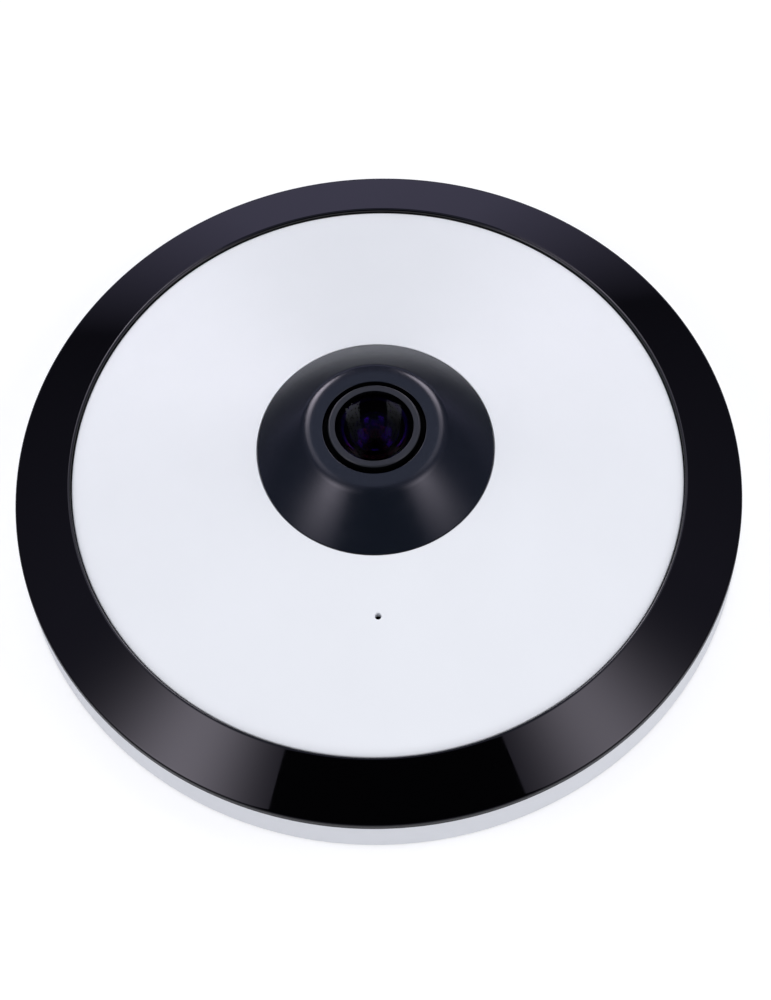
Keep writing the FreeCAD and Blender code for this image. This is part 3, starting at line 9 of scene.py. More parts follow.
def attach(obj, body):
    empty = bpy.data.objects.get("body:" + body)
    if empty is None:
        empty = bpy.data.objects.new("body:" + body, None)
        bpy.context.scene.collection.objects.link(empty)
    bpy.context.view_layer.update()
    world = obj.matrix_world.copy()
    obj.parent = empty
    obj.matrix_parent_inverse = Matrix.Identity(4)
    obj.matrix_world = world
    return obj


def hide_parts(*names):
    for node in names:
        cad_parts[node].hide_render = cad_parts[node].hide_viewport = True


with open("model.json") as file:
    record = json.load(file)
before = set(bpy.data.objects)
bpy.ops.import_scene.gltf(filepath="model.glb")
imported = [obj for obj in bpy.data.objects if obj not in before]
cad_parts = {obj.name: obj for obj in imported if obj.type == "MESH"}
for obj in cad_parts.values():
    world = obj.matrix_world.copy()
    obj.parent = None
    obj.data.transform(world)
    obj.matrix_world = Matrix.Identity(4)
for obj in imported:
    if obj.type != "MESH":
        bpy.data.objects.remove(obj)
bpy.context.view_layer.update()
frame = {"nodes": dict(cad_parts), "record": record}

MM = 0.001
DEGREES = 180 / math.pi
WHITE = (1.0, 1.0, 1.0)

# Turned meshes: steps round the axis and along arcs, and points that keep long stretches flat
STEPS = 288
ROUND_STEPS = 6
SHOULDER_STEPS = 16
FLANK_STEPS = 12
DOME_STEPS = 24
BOWL_STEPS = 20
ROD_SIDES = 48
MIC_SIDES = 64
ON_AXIS = 1e-6
SUPPORT = 0.12
LONG_STRETCH = 4
SHARP_ANGLE = math.radians(32)

# Camera, from the ellipses of the round edges in the photograph
LENS_MM = 126.0
SENSOR_MM = 36.0
VIEW_AZIMUTH = 2.44
VIEW_ELEVATION = 62.801
VIEW_DISTANCE = 0.7225
VIEW_CENTRE_Z = 0.0112
PAN = -0.110
TILT = 0.218
ROLL = -3.488

# Lamps: azimuth and elevation in degrees, side in metres, power in watts
LAMP_DISTANCE = 1.6
LAMPS = {
    "left_softbox": (-85, 36, 0.8, 6.3),
    "right_softbox": (90, 36, 0.8, 6.5),
    "back_softbox": (180, 60, 0.8, 3.0),
    "left_fill": (-55, 10, 0.6, 4.2),
    "front_fill": (0, 4, 0.6, 3.2),
    "right_fill": (55, 10, 0.6, 5.6),
}

# Floor: a mat round the part, a table beyond it, and how far each is lifted to white for the camera
FLOOR_HALF = 3.0
FLOOR_LEVEL = -0.0001
MAT_COLOUR = (0.5, 0.5, 0.52)
TABLE_COLOUR = (0.05, 0.05, 0.055)
MAT_EDGE = (0.10, 0.17)
MAT_LIFT = 0.56
TABLE_LIFT = 1.0

# Studio as gloss sees it: angles in degrees, off the camera's side and above the horizon
HORIZON = (3.0, 11.6, 0.5, 0.02)
HORIZON_SIDE = (115.0, 150.0, 0.4, 1.0)
ROOM = (11.6, 34.0, 0.05, 0.16)
CEILING = (52.0, 100.0, 20.0, 10.0)
CEILING_SIDE = (60.0, 150.0, 0.0, 1.0)
CEILING_LEVEL = 0.27
FRONT_WINDOW = (58.0, 41.0, 15.5, 16.0)
FRONT_LEVEL = 3.3
STRIP_SLANT = 0.573
STRIP_WIDTH = (0.26, 0.59, 0.03, 0.05)
STRIP_LENGTH = (0.05, 1.0, 0.5, 0.05)
STRIP_LEVEL = (0.35, 0.95, 0.8, 7.4)
LEFT_SHARE = 1.1
RIGHT_SHARE = 0.9
SHARE_SIDE = 30.0
WINDOW_INNER = 35.5
WINDOW_FOOT = 20.0
DARKEST = 0.01
WINDOW_TINT = (1.0, 0.93, 1.08)
ROOM_TINT = (1.0, 0.95, 1.48)
CEILING_TINT = (0.88, 1.05, 1.5)
AMBIENT = (0.56, 0.575, 0.61)

# Finish: noise in cells per metre, the part of it that counts, and how far it carries the roughness
COLOUR_SPAN = (0.3, 0.7)
ROUGHNESS_SPAN = (0.35, 0.65)
MOULDED_COLOUR_CELLS = 60
MOULDED_CELLS = 400
MOULDED_SPREAD = (0.92, 1.08)
METAL_COLOUR_SPREAD = 0.06
METAL_COLOUR_CELLS = 120
METAL_CELLS = 500
METAL_SPREAD = (0.8, 1.25)
ACRYLIC_IOR = 1.49
ACRYLIC_ROUGHNESS = (0.02, 0.045)
ACRYLIC_CELLS = 220

# Glass: what each face lets through, and the share and colour of the light that a coat throws back
GLASS_IOR = 1.6
CLEAR = 0.9
# Painted shade: the front element lets through only a fifth of the light at each face, so the inside of the
# lens shows dark
FRONT_SHADE_CLEAR = 0.2
INNER_COAT = (0.12, (0.25, 0.05, 1.0))
FAINT_COAT = (0.01, (0.25, 0.05, 1.0))
FILTER_COAT = (0.5, (1.0, 0.12, 0.3))
SECOND_COAT = (0.85, (1.0, 0.1, 0.35))
FRONT_OUTER_COAT = (0.003, (0.88, 1.0, 0.97))
FRONT_INNER_COAT = (0.16, (0.13, 0.01, 1.0))
COAT_ROUGHNESS = (0.005, 0.015)
COAT_CELLS = 400

# Outside of the head: rounds of its corners, then radii, levels and walls, in millimetres
CORNER = 0.1
SOFT_CORNER = 0.3
SEAT_CORNER = 0.12
OPENING_CORNER = 0.15
LENS_CORNER = 0.35
RING_RADIUS = 75.0
RIM_TOP = 11.34
RIM_ROUND = 0.7
WALL_TOP = 9.69
LIP_RADIUS = 62.95
LIP_ROUND = 0.4
RING_RISE = 6.47
RING_WALL = 2.0
SKIRT_OUTER = 72.1
SKIRT_INNER = 71.2
SKIRT_LOW = 7.49
LEDGE_TOP = 14.6
LEDGE_LOW = 13.2
LEDGE_INNER = 59.65
DISC_RADIUS = 62.73
DISC_RIM_INNER = 59.73
DISC_EDGE = 16.87
COVER_WALL = 2.31
COVER_SEAT_RADIUS = 24.07
COVER_OPENING = 20.07
SEAT_LEVEL = 27.47
SEAT_LOW = 25.67
FOOT_RADIUS = 23.87
FOOT_LEVEL = 28.57
CREST_RADIUS = 12.3
CREST_LEVEL = 37.45
SHOULDER_ROUND = 4.4
FLANK_BOW = 3.0
FLANGE_LOW = 35.25
OPENING_RADIUS = 10.38
SHROUD_WALL = 1.8
SHROUD_SKIRT_OUTER = 19.77
SHROUD_SKIRT_INNER = 18.77
SHROUD_SKIRT_LOW = 25.27
SHELF_LEVEL = 29.87
LENS_RING_RADIUS = 9.29
LENS_RING_LOW = 33.0
LENS_FRONT = 38.1
BARREL_HEAD_RADIUS = 8.65
GLASS_RADIUS = 7.88
GLASS_EDGE = 8.35
GLASS_BACK = 36.0
GLASS_LIP = 0.45
DOME_RADIUS = 16.0
BOWL_EDGE = 5.6
BOWL_DEPTH = 2.6
FIT = 0.05
MIC_PLACE = 35.8
MIC_RADIUS = 0.675
MIC_BORE = 0.9
MIC_BORE_TOP = 23.3
MIC_BOSS_RADIUS = 3.45
MIC_BOSS_LOW = 19.3
MIC_BOSS_REACH = 7.0
CUT_MARGIN = 1.0
BOSS_PLACE = 55.23
BOSS_RADIUS = 2.8
BOSS_LOW = 8.5
BOSS_TOP = 18.0
BOSS_ANGLES = (30, 150, 270)
# Painted shade down holes and gaps: how far it reaches past a wall, and how deep below the bezel's front it
# starts
SHADE_MARGIN = 0.1
SHADE_DEPTH = 0.3


def slope_height(outer, inner, radius):
    """Height at a radius on the line between two (radius, height) points."""
    share = (radius - outer[0]) / (inner[0] - outer[0])
    return outer[1] + share * (inner[1] - outer[1])


def soften(corners):
    """The profile through (radius, height, round) corners, with each round as an arc."""
    points = []
    count = len(corners)
    for index, (x, y, round_radius) in enumerate(corners):
        here = Vector((x, y))
        back = Vector(corners[index - 1][:2]) - here
        ahead = Vector(corners[(index + 1) % count][:2]) - here
        half = back.angle(ahead) / 2
        reach = round_radius / math.tan(half) if round_radius else 0.0
        if not reach:
            points.append(here)
            continue
        start = here + back.normalized() * reach
        end = here + ahead.normalized() * reach
        middle = (back.normalized() + ahead.normalized()).normalized()
        centre = here + middle * (round_radius / math.sin(half))
        first = start - centre
        turn = first.angle_signed(end - centre)
        for step in range(ROUND_STEPS + 1):
            angle = turn * step / ROUND_STEPS
            arm = Vector((first.x * math.cos(angle) + first.y * math.sin(angle),
                          first.y * math.cos(angle) - first.x * math.sin(angle)))
            points.append(centre + arm)
    return points


def arc_points(centre, radius, start, end, steps):
    """Points on an arc between two angles in degrees."""
    points = []
    for step in range(steps + 1):
        angle = math.radians(start + (end - start) * step / steps)
        points.append((centre[0] + radius * math.cos(angle), centre[1] + radius * math.sin(angle), 0))
    return points


def supported(points):
    """The profile with a point close to each end of its long straight stretches."""
    result = []
    for index, here in enumerate(points):
        following = points[(index + 1) % len(points)]
        run = following - here
        result.append(here)
        if run.length > SUPPORT * LONG_STRETCH:
            step = run.normalized() * SUPPORT
            result.append(here + step)
            result.append(following - step)
    return result


def lathe(name, corners, closed=True):
    """A solid turned about Z from (radius, height, round) corners in millimetres."""
    profile = supported(soften(corners))
    shape = bmesh.new()
    rings = []
    for point in profile:
        if point.x < ON_AXIS:
            rings.append([shape.verts.new((0, 0, point.y * MM))])
            continue
        ring = []
        for step in range(STEPS):
            angle = 2 * math.pi * step / STEPS
            ring.append(shape.verts.new((point.x * math.cos(angle) * MM, point.x * math.sin(angle) * MM,
                                         point.y * MM)))
        rings.append(ring)
    for index, ring in enumerate(rings):
        if index == len(rings) - 1 and not closed:
            break
        other = rings[(index + 1) % len(rings)]
        if len(ring) == 1 and len(other) == 1:
            continue
        for step in range(STEPS):
            ahead = (step + 1) % STEPS
            corners_here = [ring[step % len(ring)], ring[ahead % len(ring)],
                            other[ahead % len(other)], other[step % len(other)]]
            unique = list(dict.fromkeys(corners_here))
            shape.faces.new(unique)
    bmesh.ops.recalc_face_normals(shape, faces=shape.faces)
    return finish_mesh(name, shape)


def finish_mesh(name, shape):
    """An object of the shape, smooth but for its sharp edges."""
    mesh = bpy.data.meshes.new(name)
    shape.to_mesh(mesh)
    shape.free()
    mesh.shade_smooth()
    mesh.set_sharp_from_angle(angle=SHARP_ANGLE)
    piece = bpy.data.objects.new(name, mesh)
    bpy.context.scene.collection.objects.link(piece)
    return piece


def rod(x, y, radius, low, high, sides=ROD_SIDES):
    """A cylinder along Z used to add to a piece or cut it, in millimetres."""
    shape = bmesh.new()
    place = Matrix.Translation(Vector((x, y, (low + high) / 2)) * MM)
    bmesh.ops.create_cone(shape, cap_ends=True, segments=sides, radius1=radius * MM, radius2=radius * MM,
                          depth=(high - low) * MM, matrix=place)
    return finish_mesh("rod", shape)


def combine(piece, tool, operation):
    """Add a tool shape to a piece or cut it away, and remove the tool."""
    modifier = piece.modifiers.new("combine", "BOOLEAN")
    modifier.operation = operation
    modifier.solver = "EXACT"
    modifier.object = tool
    bpy.context.view_layer.update()
    evaluated = piece.evaluated_get(bpy.context.evaluated_depsgraph_get())
    mesh = bpy.data.meshes.new_from_object(evaluated)
    piece.modifiers.clear()
    old = piece.data
    piece.data = mesh
    bpy.data.meshes.remove(old)
    bpy.data.objects.remove(tool)
    piece.data.shade_smooth()
    piece.data.set_sharp_from_angle(angle=SHARP_ANGLE)


def polar(radius, angle):
    """A point in the plan, from its radius and its angle in degrees."""
    return radius * math.cos(math.radians(angle)), radius * math.sin(math.radians(angle))


# Materials

def new_material(name, colour, roughness, **sockets):
    """A plain surface, whose other sockets are named with _ for each space."""
    material = bpy.data.materials.new(name)
    material.use_nodes = True
    shader = material.node_tree.nodes["Principled BSDF"]
    shader.inputs["Base Color"].default_value = (*colour, 1)
    shader.inputs["Roughness"].default_value = roughness
    for socket, value in sockets.items():
        shader.inputs[socket.replace("_", " ")].default_value = value
    return material


def noise(material, scale, detail=3.0, stretch=None):
    """A noise texture on the part's own coordinates, in cells per metre."""
    nodes = material.node_tree.nodes
    links = material.node_tree.links
    place = nodes.new("ShaderNodeTexCoord")
    texture = nodes.new("ShaderNodeTexNoise")
    texture.inputs["Scale"].default_value = scale
    texture.inputs["Detail"].default_value = detail
    if stretch:
        mapping = nodes.new("ShaderNodeMapping")
        mapping.inputs["Scale"].default_value = stretch
        links.new(place.outputs["Object"], mapping.inputs["Vector"])
        links.new(mapping.outputs["Vector"], texture.inputs["Vector"])
    else:
        links.new(place.outputs["Object"], texture.inputs["Vector"])
    return texture


def vary_colour(material, colour, spread, scale):
    """A little light and dark in the colour."""
    nodes = material.node_tree.nodes
    links = material.node_tree.links
    texture = noise(material, scale)
    ramp = nodes.new("ShaderNodeValToRGB")
    for element, position, factor in zip(ramp.color_ramp.elements, COLOUR_SPAN, (1 - spread, 1 + spread)):
        element.position = position
        element.color = (*[min(value * factor, 1) for value in colour], 1)
    links.new(texture.outputs["Fac"], ramp.inputs["Fac"])
    links.new(ramp.outputs["Color"], nodes["Principled BSDF"].inputs["Base Color"])


def vary_roughness(material, low, high, scale):
    """A little smooth and rough in the finish."""
    tree = material.node_tree
    texture = noise(material, scale)
    roughness = map_range(tree, texture.outputs["Fac"], *ROUGHNESS_SPAN, low, high)
    tree.links.new(roughness, tree.nodes["Principled BSDF"].inputs["Roughness"])


def grain(material, scale, depth, detail=3.0, stretch=None):
    """Fine relief, with its depth in metres."""
    nodes = material.node_tree.nodes
    links = material.node_tree.links
    texture = noise(material, scale, detail, stretch)
    bump = nodes.new("ShaderNodeBump")
    bump.inputs["Distance"].default_value = depth
    bump.inputs["Strength"].default_value = 1.0
    links.new(texture.outputs["Fac"], bump.inputs["Height"])
    links.new(bump.outputs["Normal"], nodes["Principled BSDF"].inputs["Normal"])


def moulded(name, colour, roughness=0.45, spread=0.03, scale=2600, depth=0.000004, **sockets):
    """Moulded plastic with a fine satin grain."""
    material = new_material(name, colour, roughness, **sockets)
    vary_colour(material, colour, spread, MOULDED_COLOUR_CELLS)
    vary_roughness(material, *[roughness * factor for factor in MOULDED_SPREAD], MOULDED_CELLS)
    grain(material, scale, depth)
    return material


def metal(name, colour, roughness=0.3, scale=900, depth=0.000003, stretch=None):
    """Bare or plated metal with faint brush marks."""
    material = new_material(name, colour, roughness, Metallic=1.0)
    vary_colour(material, colour, METAL_COLOUR_SPREAD, METAL_COLOUR_CELLS)
    vary_roughness(material, *[roughness * factor for factor in METAL_SPREAD], METAL_CELLS)
    grain(material, scale, depth, stretch=stretch)
    return material


def glass(name, clear, outer, inner):
    """Coated optical glass, with the coats that its faces show from outside and from inside."""
    material = bpy.data.materials.new(name)
    material.use_nodes = True
    tree = material.node_tree
    tree.nodes.clear()
    through = tree.nodes.new("ShaderNodeBsdfRefraction")
    through.inputs["IOR"].default_value = GLASS_IOR
    through.inputs["Roughness"].default_value = 0.0
    through.inputs["Color"].default_value = (clear, clear, clear, 1)
    mirror = tree.nodes.new("ShaderNodeBsdfGlossy")
    smear = noise(material, COAT_CELLS)
    roughness = map_range(tree, smear.outputs["Fac"], 0, 1, *COAT_ROUGHNESS)
    tree.links.new(roughness, mirror.inputs["Roughness"])
    facing = tree.nodes.new("ShaderNodeNewGeometry")
    share = map_range(tree, facing.outputs["Backfacing"], 0, 1, outer[0], inner[0])
    tree.links.new(choose(tree, facing.outputs["Backfacing"], outer[1], inner[1]), mirror.inputs["Color"])
    blend = tree.nodes.new("ShaderNodeMixShader")
    tree.links.new(share, blend.inputs["Fac"])
    tree.links.new(through.outputs["BSDF"], blend.inputs[1])
    tree.links.new(mirror.outputs["BSDF"], blend.inputs[2])
    output = tree.nodes.new("ShaderNodeOutputMaterial")
    tree.links.new(blend.outputs["Shader"], output.inputs["Surface"])
    return material


def make_materials():
    """A material for each slot of the record, and flat black as painted shade for gaps and holes."""
    white = (0.80, 0.81, 0.845)
    return {
        "bracket_steel": moulded("powder_coat", (0.74, 0.74, 0.76), 0.5, 0.02, 1400, 0.00001),
        "housing_white": moulded("housing_plastic", white, 0.42, 0.01),
        "cover_white": moulded("cover_plastic", white, 0.42, 0.008),
        "window_black": window_material(),
        "shroud_blue_black": moulded("shroud_paint", (0.0048, 0.0068, 0.0118), 0.22, 0.05, 2400, 0.0000008),
        "screw_steel": metal("screw_zinc", (0.55, 0.55, 0.56), 0.32),
        "rubber_black": moulded("black_rubber", (0.0015, 0.0016, 0.002), 0.85, Specular_IOR_Level=0.1),
        "rubber_grey": moulded("grey_silicone", (0.4, 0.42, 0.45), 0.7),
        "lens_metal": moulded("anodised_black", (0.014, 0.015, 0.018), 0.3, 0.05, 3000, 0.000001),
        "lens_glass": glass("inner_glass", CLEAR, INNER_COAT, FAINT_COAT),
        "filter_glass": glass("filter_glass", CLEAR, FILTER_COAT, FILTER_COAT),
        "board_green": moulded("green_solder_mask", (0.02, 0.16, 0.07), 0.35, 0.08, 500, 0.00001),
        "board_white": moulded("white_solder_mask", (0.75, 0.76, 0.74), 0.35, 0.03, 500, 0.00001),
        "chip_black": moulded("chip_epoxy", (0.025, 0.025, 0.028), 0.5, 0.1),
        "sensor_ceramic": moulded("sensor_package", (0.09, 0.08, 0.08), 0.5, 0.1),
        "lamp_epoxy": moulded("lamp_lens", (0.55, 0.50, 0.40), 0.15, 0.03),
        "bare_aluminium": metal("bare_aluminium", (0.75, 0.76, 0.77), 0.35, stretch=(1, 12, 1)),
        "plated_steel": metal("plated_steel", (0.62, 0.62, 0.61), 0.3, stretch=(1, 1, 12)),
        "gold_brass": metal("gold_plate", (0.83, 0.62, 0.26), 0.25),
        "copper_wire": metal("copper_wire", (0.70, 0.33, 0.16), 0.35, stretch=(12, 1, 1)),
        "plastic_black": moulded("black_plastic", (0.025, 0.025, 0.027), 0.45, 0.06),
        "terminal_green": moulded("terminal_plastic", (0.06, 0.36, 0.14), 0.42, 0.05),
        "card_black": moulded("card_plastic", (0.03, 0.03, 0.032), 0.4, 0.05),
        "button_grey": moulded("button_plastic", (0.25, 0.25, 0.27), 0.45, 0.04),
        "carrier_white": moulded("carrier_plastic", (0.72, 0.72, 0.70), 0.5, 0.02),
        "connector_ivory": moulded("connector_plastic", (0.72, 0.66, 0.50), 0.45, 0.03),
        "flex_amber": moulded("polyimide_film", (0.55, 0.26, 0.05), 0.3, 0.08),
        "lead_black": moulded("lead_insulation", (0.03, 0.03, 0.03), 0.5, 0.05),
        # Painted shade: near-black and almost without gloss, for walls deep in holes and gaps
        "gap": moulded("painted_shade_black", (0.0012, 0.0014, 0.002), 0.8, Specular_IOR_Level=0.02),
    }


def window_material():
    """Polished dark acrylic."""
    material = new_material("window_acrylic", (0.0004, 0.0004, 0.0005), 0.03, IOR=ACRYLIC_IOR)
    vary_roughness(material, *ACRYLIC_ROUGHNESS, ACRYLIC_CELLS)
    grain(material, 90, 0.0000015, detail=1.0)
    return material


# Pieces of the outside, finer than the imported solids

def window_ring():
    outer = (RING_RADIUS, RIM_TOP)
    lip = (LIP_RADIUS, RIM_TOP + RING_RISE)
    drop = RING_WALL * math.hypot(lip[0] - outer[0], RING_RISE) / (RING_RADIUS - LIP_RADIUS)
    wall_inner = LIP_RADIUS + RING_WALL
    piece = lathe("window_ring", [
        (SKIRT_INNER, SKIRT_LOW, CORNER),
        (SKIRT_OUTER, SKIRT_LOW, CORNER),
        (SKIRT_OUTER, WALL_TOP, 0),
        (RING_RADIUS, WALL_TOP, CORNER),
        (RING_RADIUS, RIM_TOP, RIM_ROUND),
        (LIP_RADIUS, RIM_TOP + RING_RISE, LIP_ROUND),
        (LIP_RADIUS, LEDGE_TOP, 0),
        (LEDGE_INNER, LEDGE_TOP, CORNER),
        (LEDGE_INNER, LEDGE_LOW, CORNER),
        (wall_inner, LEDGE_LOW, 0),
        (wall_inner, slope_height(outer, lip, wall_inner) - drop, SOFT_CORNER),
        (SKIRT_INNER, slope_height(outer, lip, SKIRT_INNER) - drop, SOFT_CORNER),
    ])
    place(piece, "ir_window_ring")


def cover_disc():
    outer = (DISC_RADIUS, DISC_EDGE)
    foot = (FOOT_RADIUS, FOOT_LEVEL)
    seat_top = slope_height(outer, foot, COVER_SEAT_RADIUS)
    fall = (FOOT_LEVEL - DISC_EDGE) / (DISC_RADIUS - FOOT_RADIUS)
    under_radius = COVER_SEAT_RADIUS + (seat_top - COVER_WALL - SEAT_LOW) / fall
    piece = lathe("cover_disc", [
        (DISC_RADIUS, LEDGE_TOP, 0),
        (DISC_RADIUS, DISC_EDGE, SOFT_CORNER),
        (COVER_SEAT_RADIUS, seat_top, SEAT_CORNER),
        (COVER_SEAT_RADIUS, SEAT_LEVEL, 0),
        (COVER_OPENING, SEAT_LEVEL, CORNER),
        (COVER_OPENING, SEAT_LOW, CORNER),
        (under_radius, SEAT_LOW, 0),
        (DISC_RIM_INNER, slope_height(outer, foot, DISC_RIM_INNER) - COVER_WALL, 0),
        (DISC_RIM_INNER, LEDGE_TOP, CORNER),
    ])
    for angle in BOSS_ANGLES:
        combine(piece, rod(*polar(BOSS_PLACE, angle), BOSS_RADIUS, BOSS_LOW, BOSS_TOP), "UNION")
    cut_low = MIC_BOSS_LOW - CUT_MARGIN
    for radius, low, high, operation in (
            (MIC_BOSS_RADIUS, MIC_BOSS_LOW, DISC_EDGE + MIC_BOSS_REACH, "UNION"),
            (MIC_RADIUS, cut_low, FOOT_LEVEL, "DIFFERENCE"),
            (MIC_BORE, cut_low, MIC_BORE_TOP, "DIFFERENCE")):
        combine(piece, rod(0, -MIC_PLACE, radius, low, high, MIC_SIDES), operation)
    place(piece, "front_cover")
    # Painted shade: flat black on the walls of the microphone bore
    paint_hole_shade(piece, MIC_BORE + SHADE_MARGIN, MIC_BORE_TOP + SHADE_MARGIN, centre=(0, -MIC_PLACE))


def shroud():
    centre = (CREST_RADIUS, CREST_LEVEL - SHOULDER_ROUND)
    rise = FOOT_LEVEL - centre[1]
    across = FOOT_RADIUS - centre[0]
    tangent = math.degrees(math.atan2(rise, across) + math.acos(SHOULDER_ROUND / math.hypot(across, rise)))
    shoulder = arc_points(centre, SHOULDER_ROUND, tangent + FLANK_BOW, 90, SHOULDER_STEPS)
    flank = swollen((FOOT_RADIUS, FOOT_LEVEL), shoulder[0], math.radians(FLANK_BOW), FLANK_STEPS)
    slope = math.radians(90 - tangent)
    shift = SHROUD_WALL / math.sin(slope)
    run = 1 / math.tan(slope)
    piece = lathe("lens_cone", [
        (SHROUD_SKIRT_INNER, SHROUD_SKIRT_LOW, CORNER),
        (SHROUD_SKIRT_OUTER, SHROUD_SKIRT_LOW, CORNER),
        (SHROUD_SKIRT_OUTER, SEAT_LEVEL, 0),
        (FOOT_RADIUS, SEAT_LEVEL, CORNER),
        *flank,
        *shoulder,
        (OPENING_RADIUS, CREST_LEVEL, OPENING_CORNER),
        (OPENING_RADIUS, FLANGE_LOW, CORNER),
        (FOOT_RADIUS - shift - (FLANGE_LOW - FOOT_LEVEL) * run, FLANGE_LOW, SOFT_CORNER),
        (FOOT_RADIUS - shift - (SHELF_LEVEL - FOOT_LEVEL) * run, SHELF_LEVEL, SOFT_CORNER),
        (SHROUD_SKIRT_INNER, SHELF_LEVEL, 0),
    ])
    place(piece, "lens_shroud")
    # Painted shade: flat black on the wall of the opening round the lens
    paint_hole_shade(piece, OPENING_RADIUS + SHADE_MARGIN, CREST_LEVEL - SHADE_MARGIN)


def swollen(start, end, swell, steps):
    """Points of a bowed line, which meets its straight line at an angle, without the last one."""
    line = Vector((end[0] - start[0], end[1] - start[1]))
    radius = line.length / (2 * math.sin(swell))
    outward = Vector((line.y, -line.x)).normalized()
    centre = Vector(start) + line / 2 - outward * radius * math.cos(swell)
    first = math.degrees(math.atan2(start[1] - centre.y, start[0] - centre.x))
    return arc_points(centre, radius, first, first + 2 * math.degrees(swell), steps)[:-1]


def lens_ring():
    lip_low = LENS_FRONT - GLASS_LIP + FIT
    ring = lathe("lens_bezel", [
        (BARREL_HEAD_RADIUS, LENS_RING_LOW, 0),
        (LENS_RING_RADIUS, LENS_RING_LOW, CORNER),
        (LENS_RING_RADIUS, LENS_FRONT, LENS_CORNER),
        (GLASS_RADIUS, LENS_FRONT, SEAT_CORNER),
        (GLASS_RADIUS, lip_low, 0),
        (GLASS_EDGE + FIT, lip_low, 0),
        (GLASS_EDGE + FIT, GLASS_BACK, 0),
        (BARREL_HEAD_RADIUS, GLASS_BACK, 0),
    ])
    place(ring, "lens_front_ring")
    # Painted shade: flat black on the bezel's outer side, seen down the narrow ring inside the shroud's
    # opening
    paint_hole_shade(ring, LENS_RING_RADIUS, LENS_FRONT - SHADE_DEPTH, inner=LENS_RING_RADIUS - SHADE_MARGIN)


def front_glass():
    edge = GLASS_RADIUS - FIT
    rise = math.sqrt(DOME_RADIUS ** 2 - GLASS_RADIUS ** 2)
    centre = (0, LENS_FRONT - rise)
    dome = arc_points(centre, DOME_RADIUS, 90, math.degrees(math.acos(edge / DOME_RADIUS)), DOME_STEPS)
    bowl_radius = (BOWL_EDGE ** 2 + BOWL_DEPTH ** 2) / (2 * BOWL_DEPTH)
    bowl_centre = (0, GLASS_BACK + BOWL_DEPTH - bowl_radius)
    bowl_start = math.degrees(math.acos(BOWL_EDGE / bowl_radius))
    bowl = arc_points(bowl_centre, bowl_radius, bowl_start, 90, BOWL_STEPS)
    dome[0] = (0, dome[0][1], 0)
    bowl[-1] = (0, bowl[-1][1], 0)
    shoulder_level = LENS_FRONT - GLASS_LIP
    front = lathe("front_element", [
        *dome,
        (edge, shoulder_level, 0),
        (GLASS_EDGE, shoulder_level, 0),
        (GLASS_EDGE, GLASS_BACK, 0),
        *bowl,
    ], closed=False)
    # Front element darkened as painted shade of the lens's inside, with its coats
    coated = glass("front_glass", FRONT_SHADE_CLEAR, FRONT_OUTER_COAT, FRONT_INNER_COAT)
    place(front, "lens_front_glass", coated)


def place(piece, node, material=None):
    """Put a finer piece in a node's stead, with that node's material."""
    slot = slot_of[node]
    piece.data.materials.clear()
    piece.data.materials.append(material or materials[slot])
    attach(piece, body_of[node])
    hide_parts(node)


def paint_hole_shade(piece, reach, top, inner=0.0, centre=(0.0, 0.0)):
    """Painted shade: flat black on walls near an upright axis and below a level, which only show down gaps
    and holes.
    """
    piece.data.materials.append(materials["gap"])
    for face in piece.data.polygons:
        middle = Vector(face.center) / MM
        if inner <= (middle.xy - Vector(centre)).length <= reach and middle.z <= top:
            face.material_index = 1


def dress_nodes():
    """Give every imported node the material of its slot, and the second glass its own pink coat."""
    for name, item in frame["nodes"].items():
        item.data.materials.clear()
        item.data.materials.append(materials[slot_of[name]])
    coated = glass("second_glass", CLEAR, SECOND_COAT, FAINT_COAT)
    frame["nodes"]["lens_second_glass"].data.materials[0] = coated


# Stage, light and camera

def math_node(tree, operation, *values):
    """One step of arithmetic on numbers or sockets."""
    node = tree.nodes.new("ShaderNodeMath")
    node.operation = operation
    for socket, value in zip(node.inputs, values):
        if isinstance(value, (int, float)):
            socket.default_value = value
        else:
            tree.links.new(value, socket)
    return node.outputs[0]


def map_range(tree, value, from_low, from_high, to_low, to_high, smooth=False):
    """A value carried from one range to another."""
    node = tree.nodes.new("ShaderNodeMapRange")
    node.interpolation_type = "SMOOTHSTEP" if smooth else "LINEAR"
    tree.links.new(value, node.inputs["Value"])
    for socket, number in (("From Min", from_low), ("From Max", from_high),
                           ("To Min", to_low), ("To Max", to_high)):
        node.inputs[socket].default_value = number
    return node.outputs["Result"]


def band(tree, value, low, high, blur_low, blur_high):
    """1 between two limits, with a soft edge at each."""
    opened = map_range(tree, value, low - blur_low / 2, low + blur_low / 2, 0, 1, smooth=True)
    shut = map_range(tree, value, high - blur_high / 2, high + blur_high / 2, 1, 0, smooth=True)
    return math_node(tree, "MULTIPLY", opened, shut)


def tinted(tree, level, tint):
    """A colour scaled by a level."""
    node = tree.nodes.new("ShaderNodeVectorMath")
    node.operation = "SCALE"
    node.inputs[0].default_value = tint
    tree.links.new(level, node.inputs["Scale"])
    return node.outputs["Vector"]


def joined(tree, first, second):
    """The sum of two colours."""
    node = tree.nodes.new("ShaderNodeVectorMath")
    node.operation = "ADD"
    tree.links.new(first, node.inputs[0])
    tree.links.new(second, node.inputs[1])
    return node.outputs["Vector"]


def choose(tree, share, first, second):
    """The first colour where the share is 0, the second where it is 1."""
    node = tree.nodes.new("ShaderNodeMix")
    node.data_type = "VECTOR"
    tree.links.new(share, node.inputs["Factor"])
    ends = [socket for socket in node.inputs if socket.type == "VECTOR" and socket.name in "AB"]
    for socket, value in zip(ends, (first, second)):
        if isinstance(value, tuple):
            socket.default_value = value
        else:
            tree.links.new(value, socket)
    return [socket for socket in node.outputs if socket.type == "VECTOR"][0]


def along(tree, direction, axis):
    """How far a direction goes along an axis."""
    node = tree.nodes.new("ShaderNodeVectorMath")
    node.operation = "DOT_PRODUCT"
    tree.links.new(direction, node.inputs[0])
    node.inputs[1].default_value = axis
    return node.outputs["Value"]


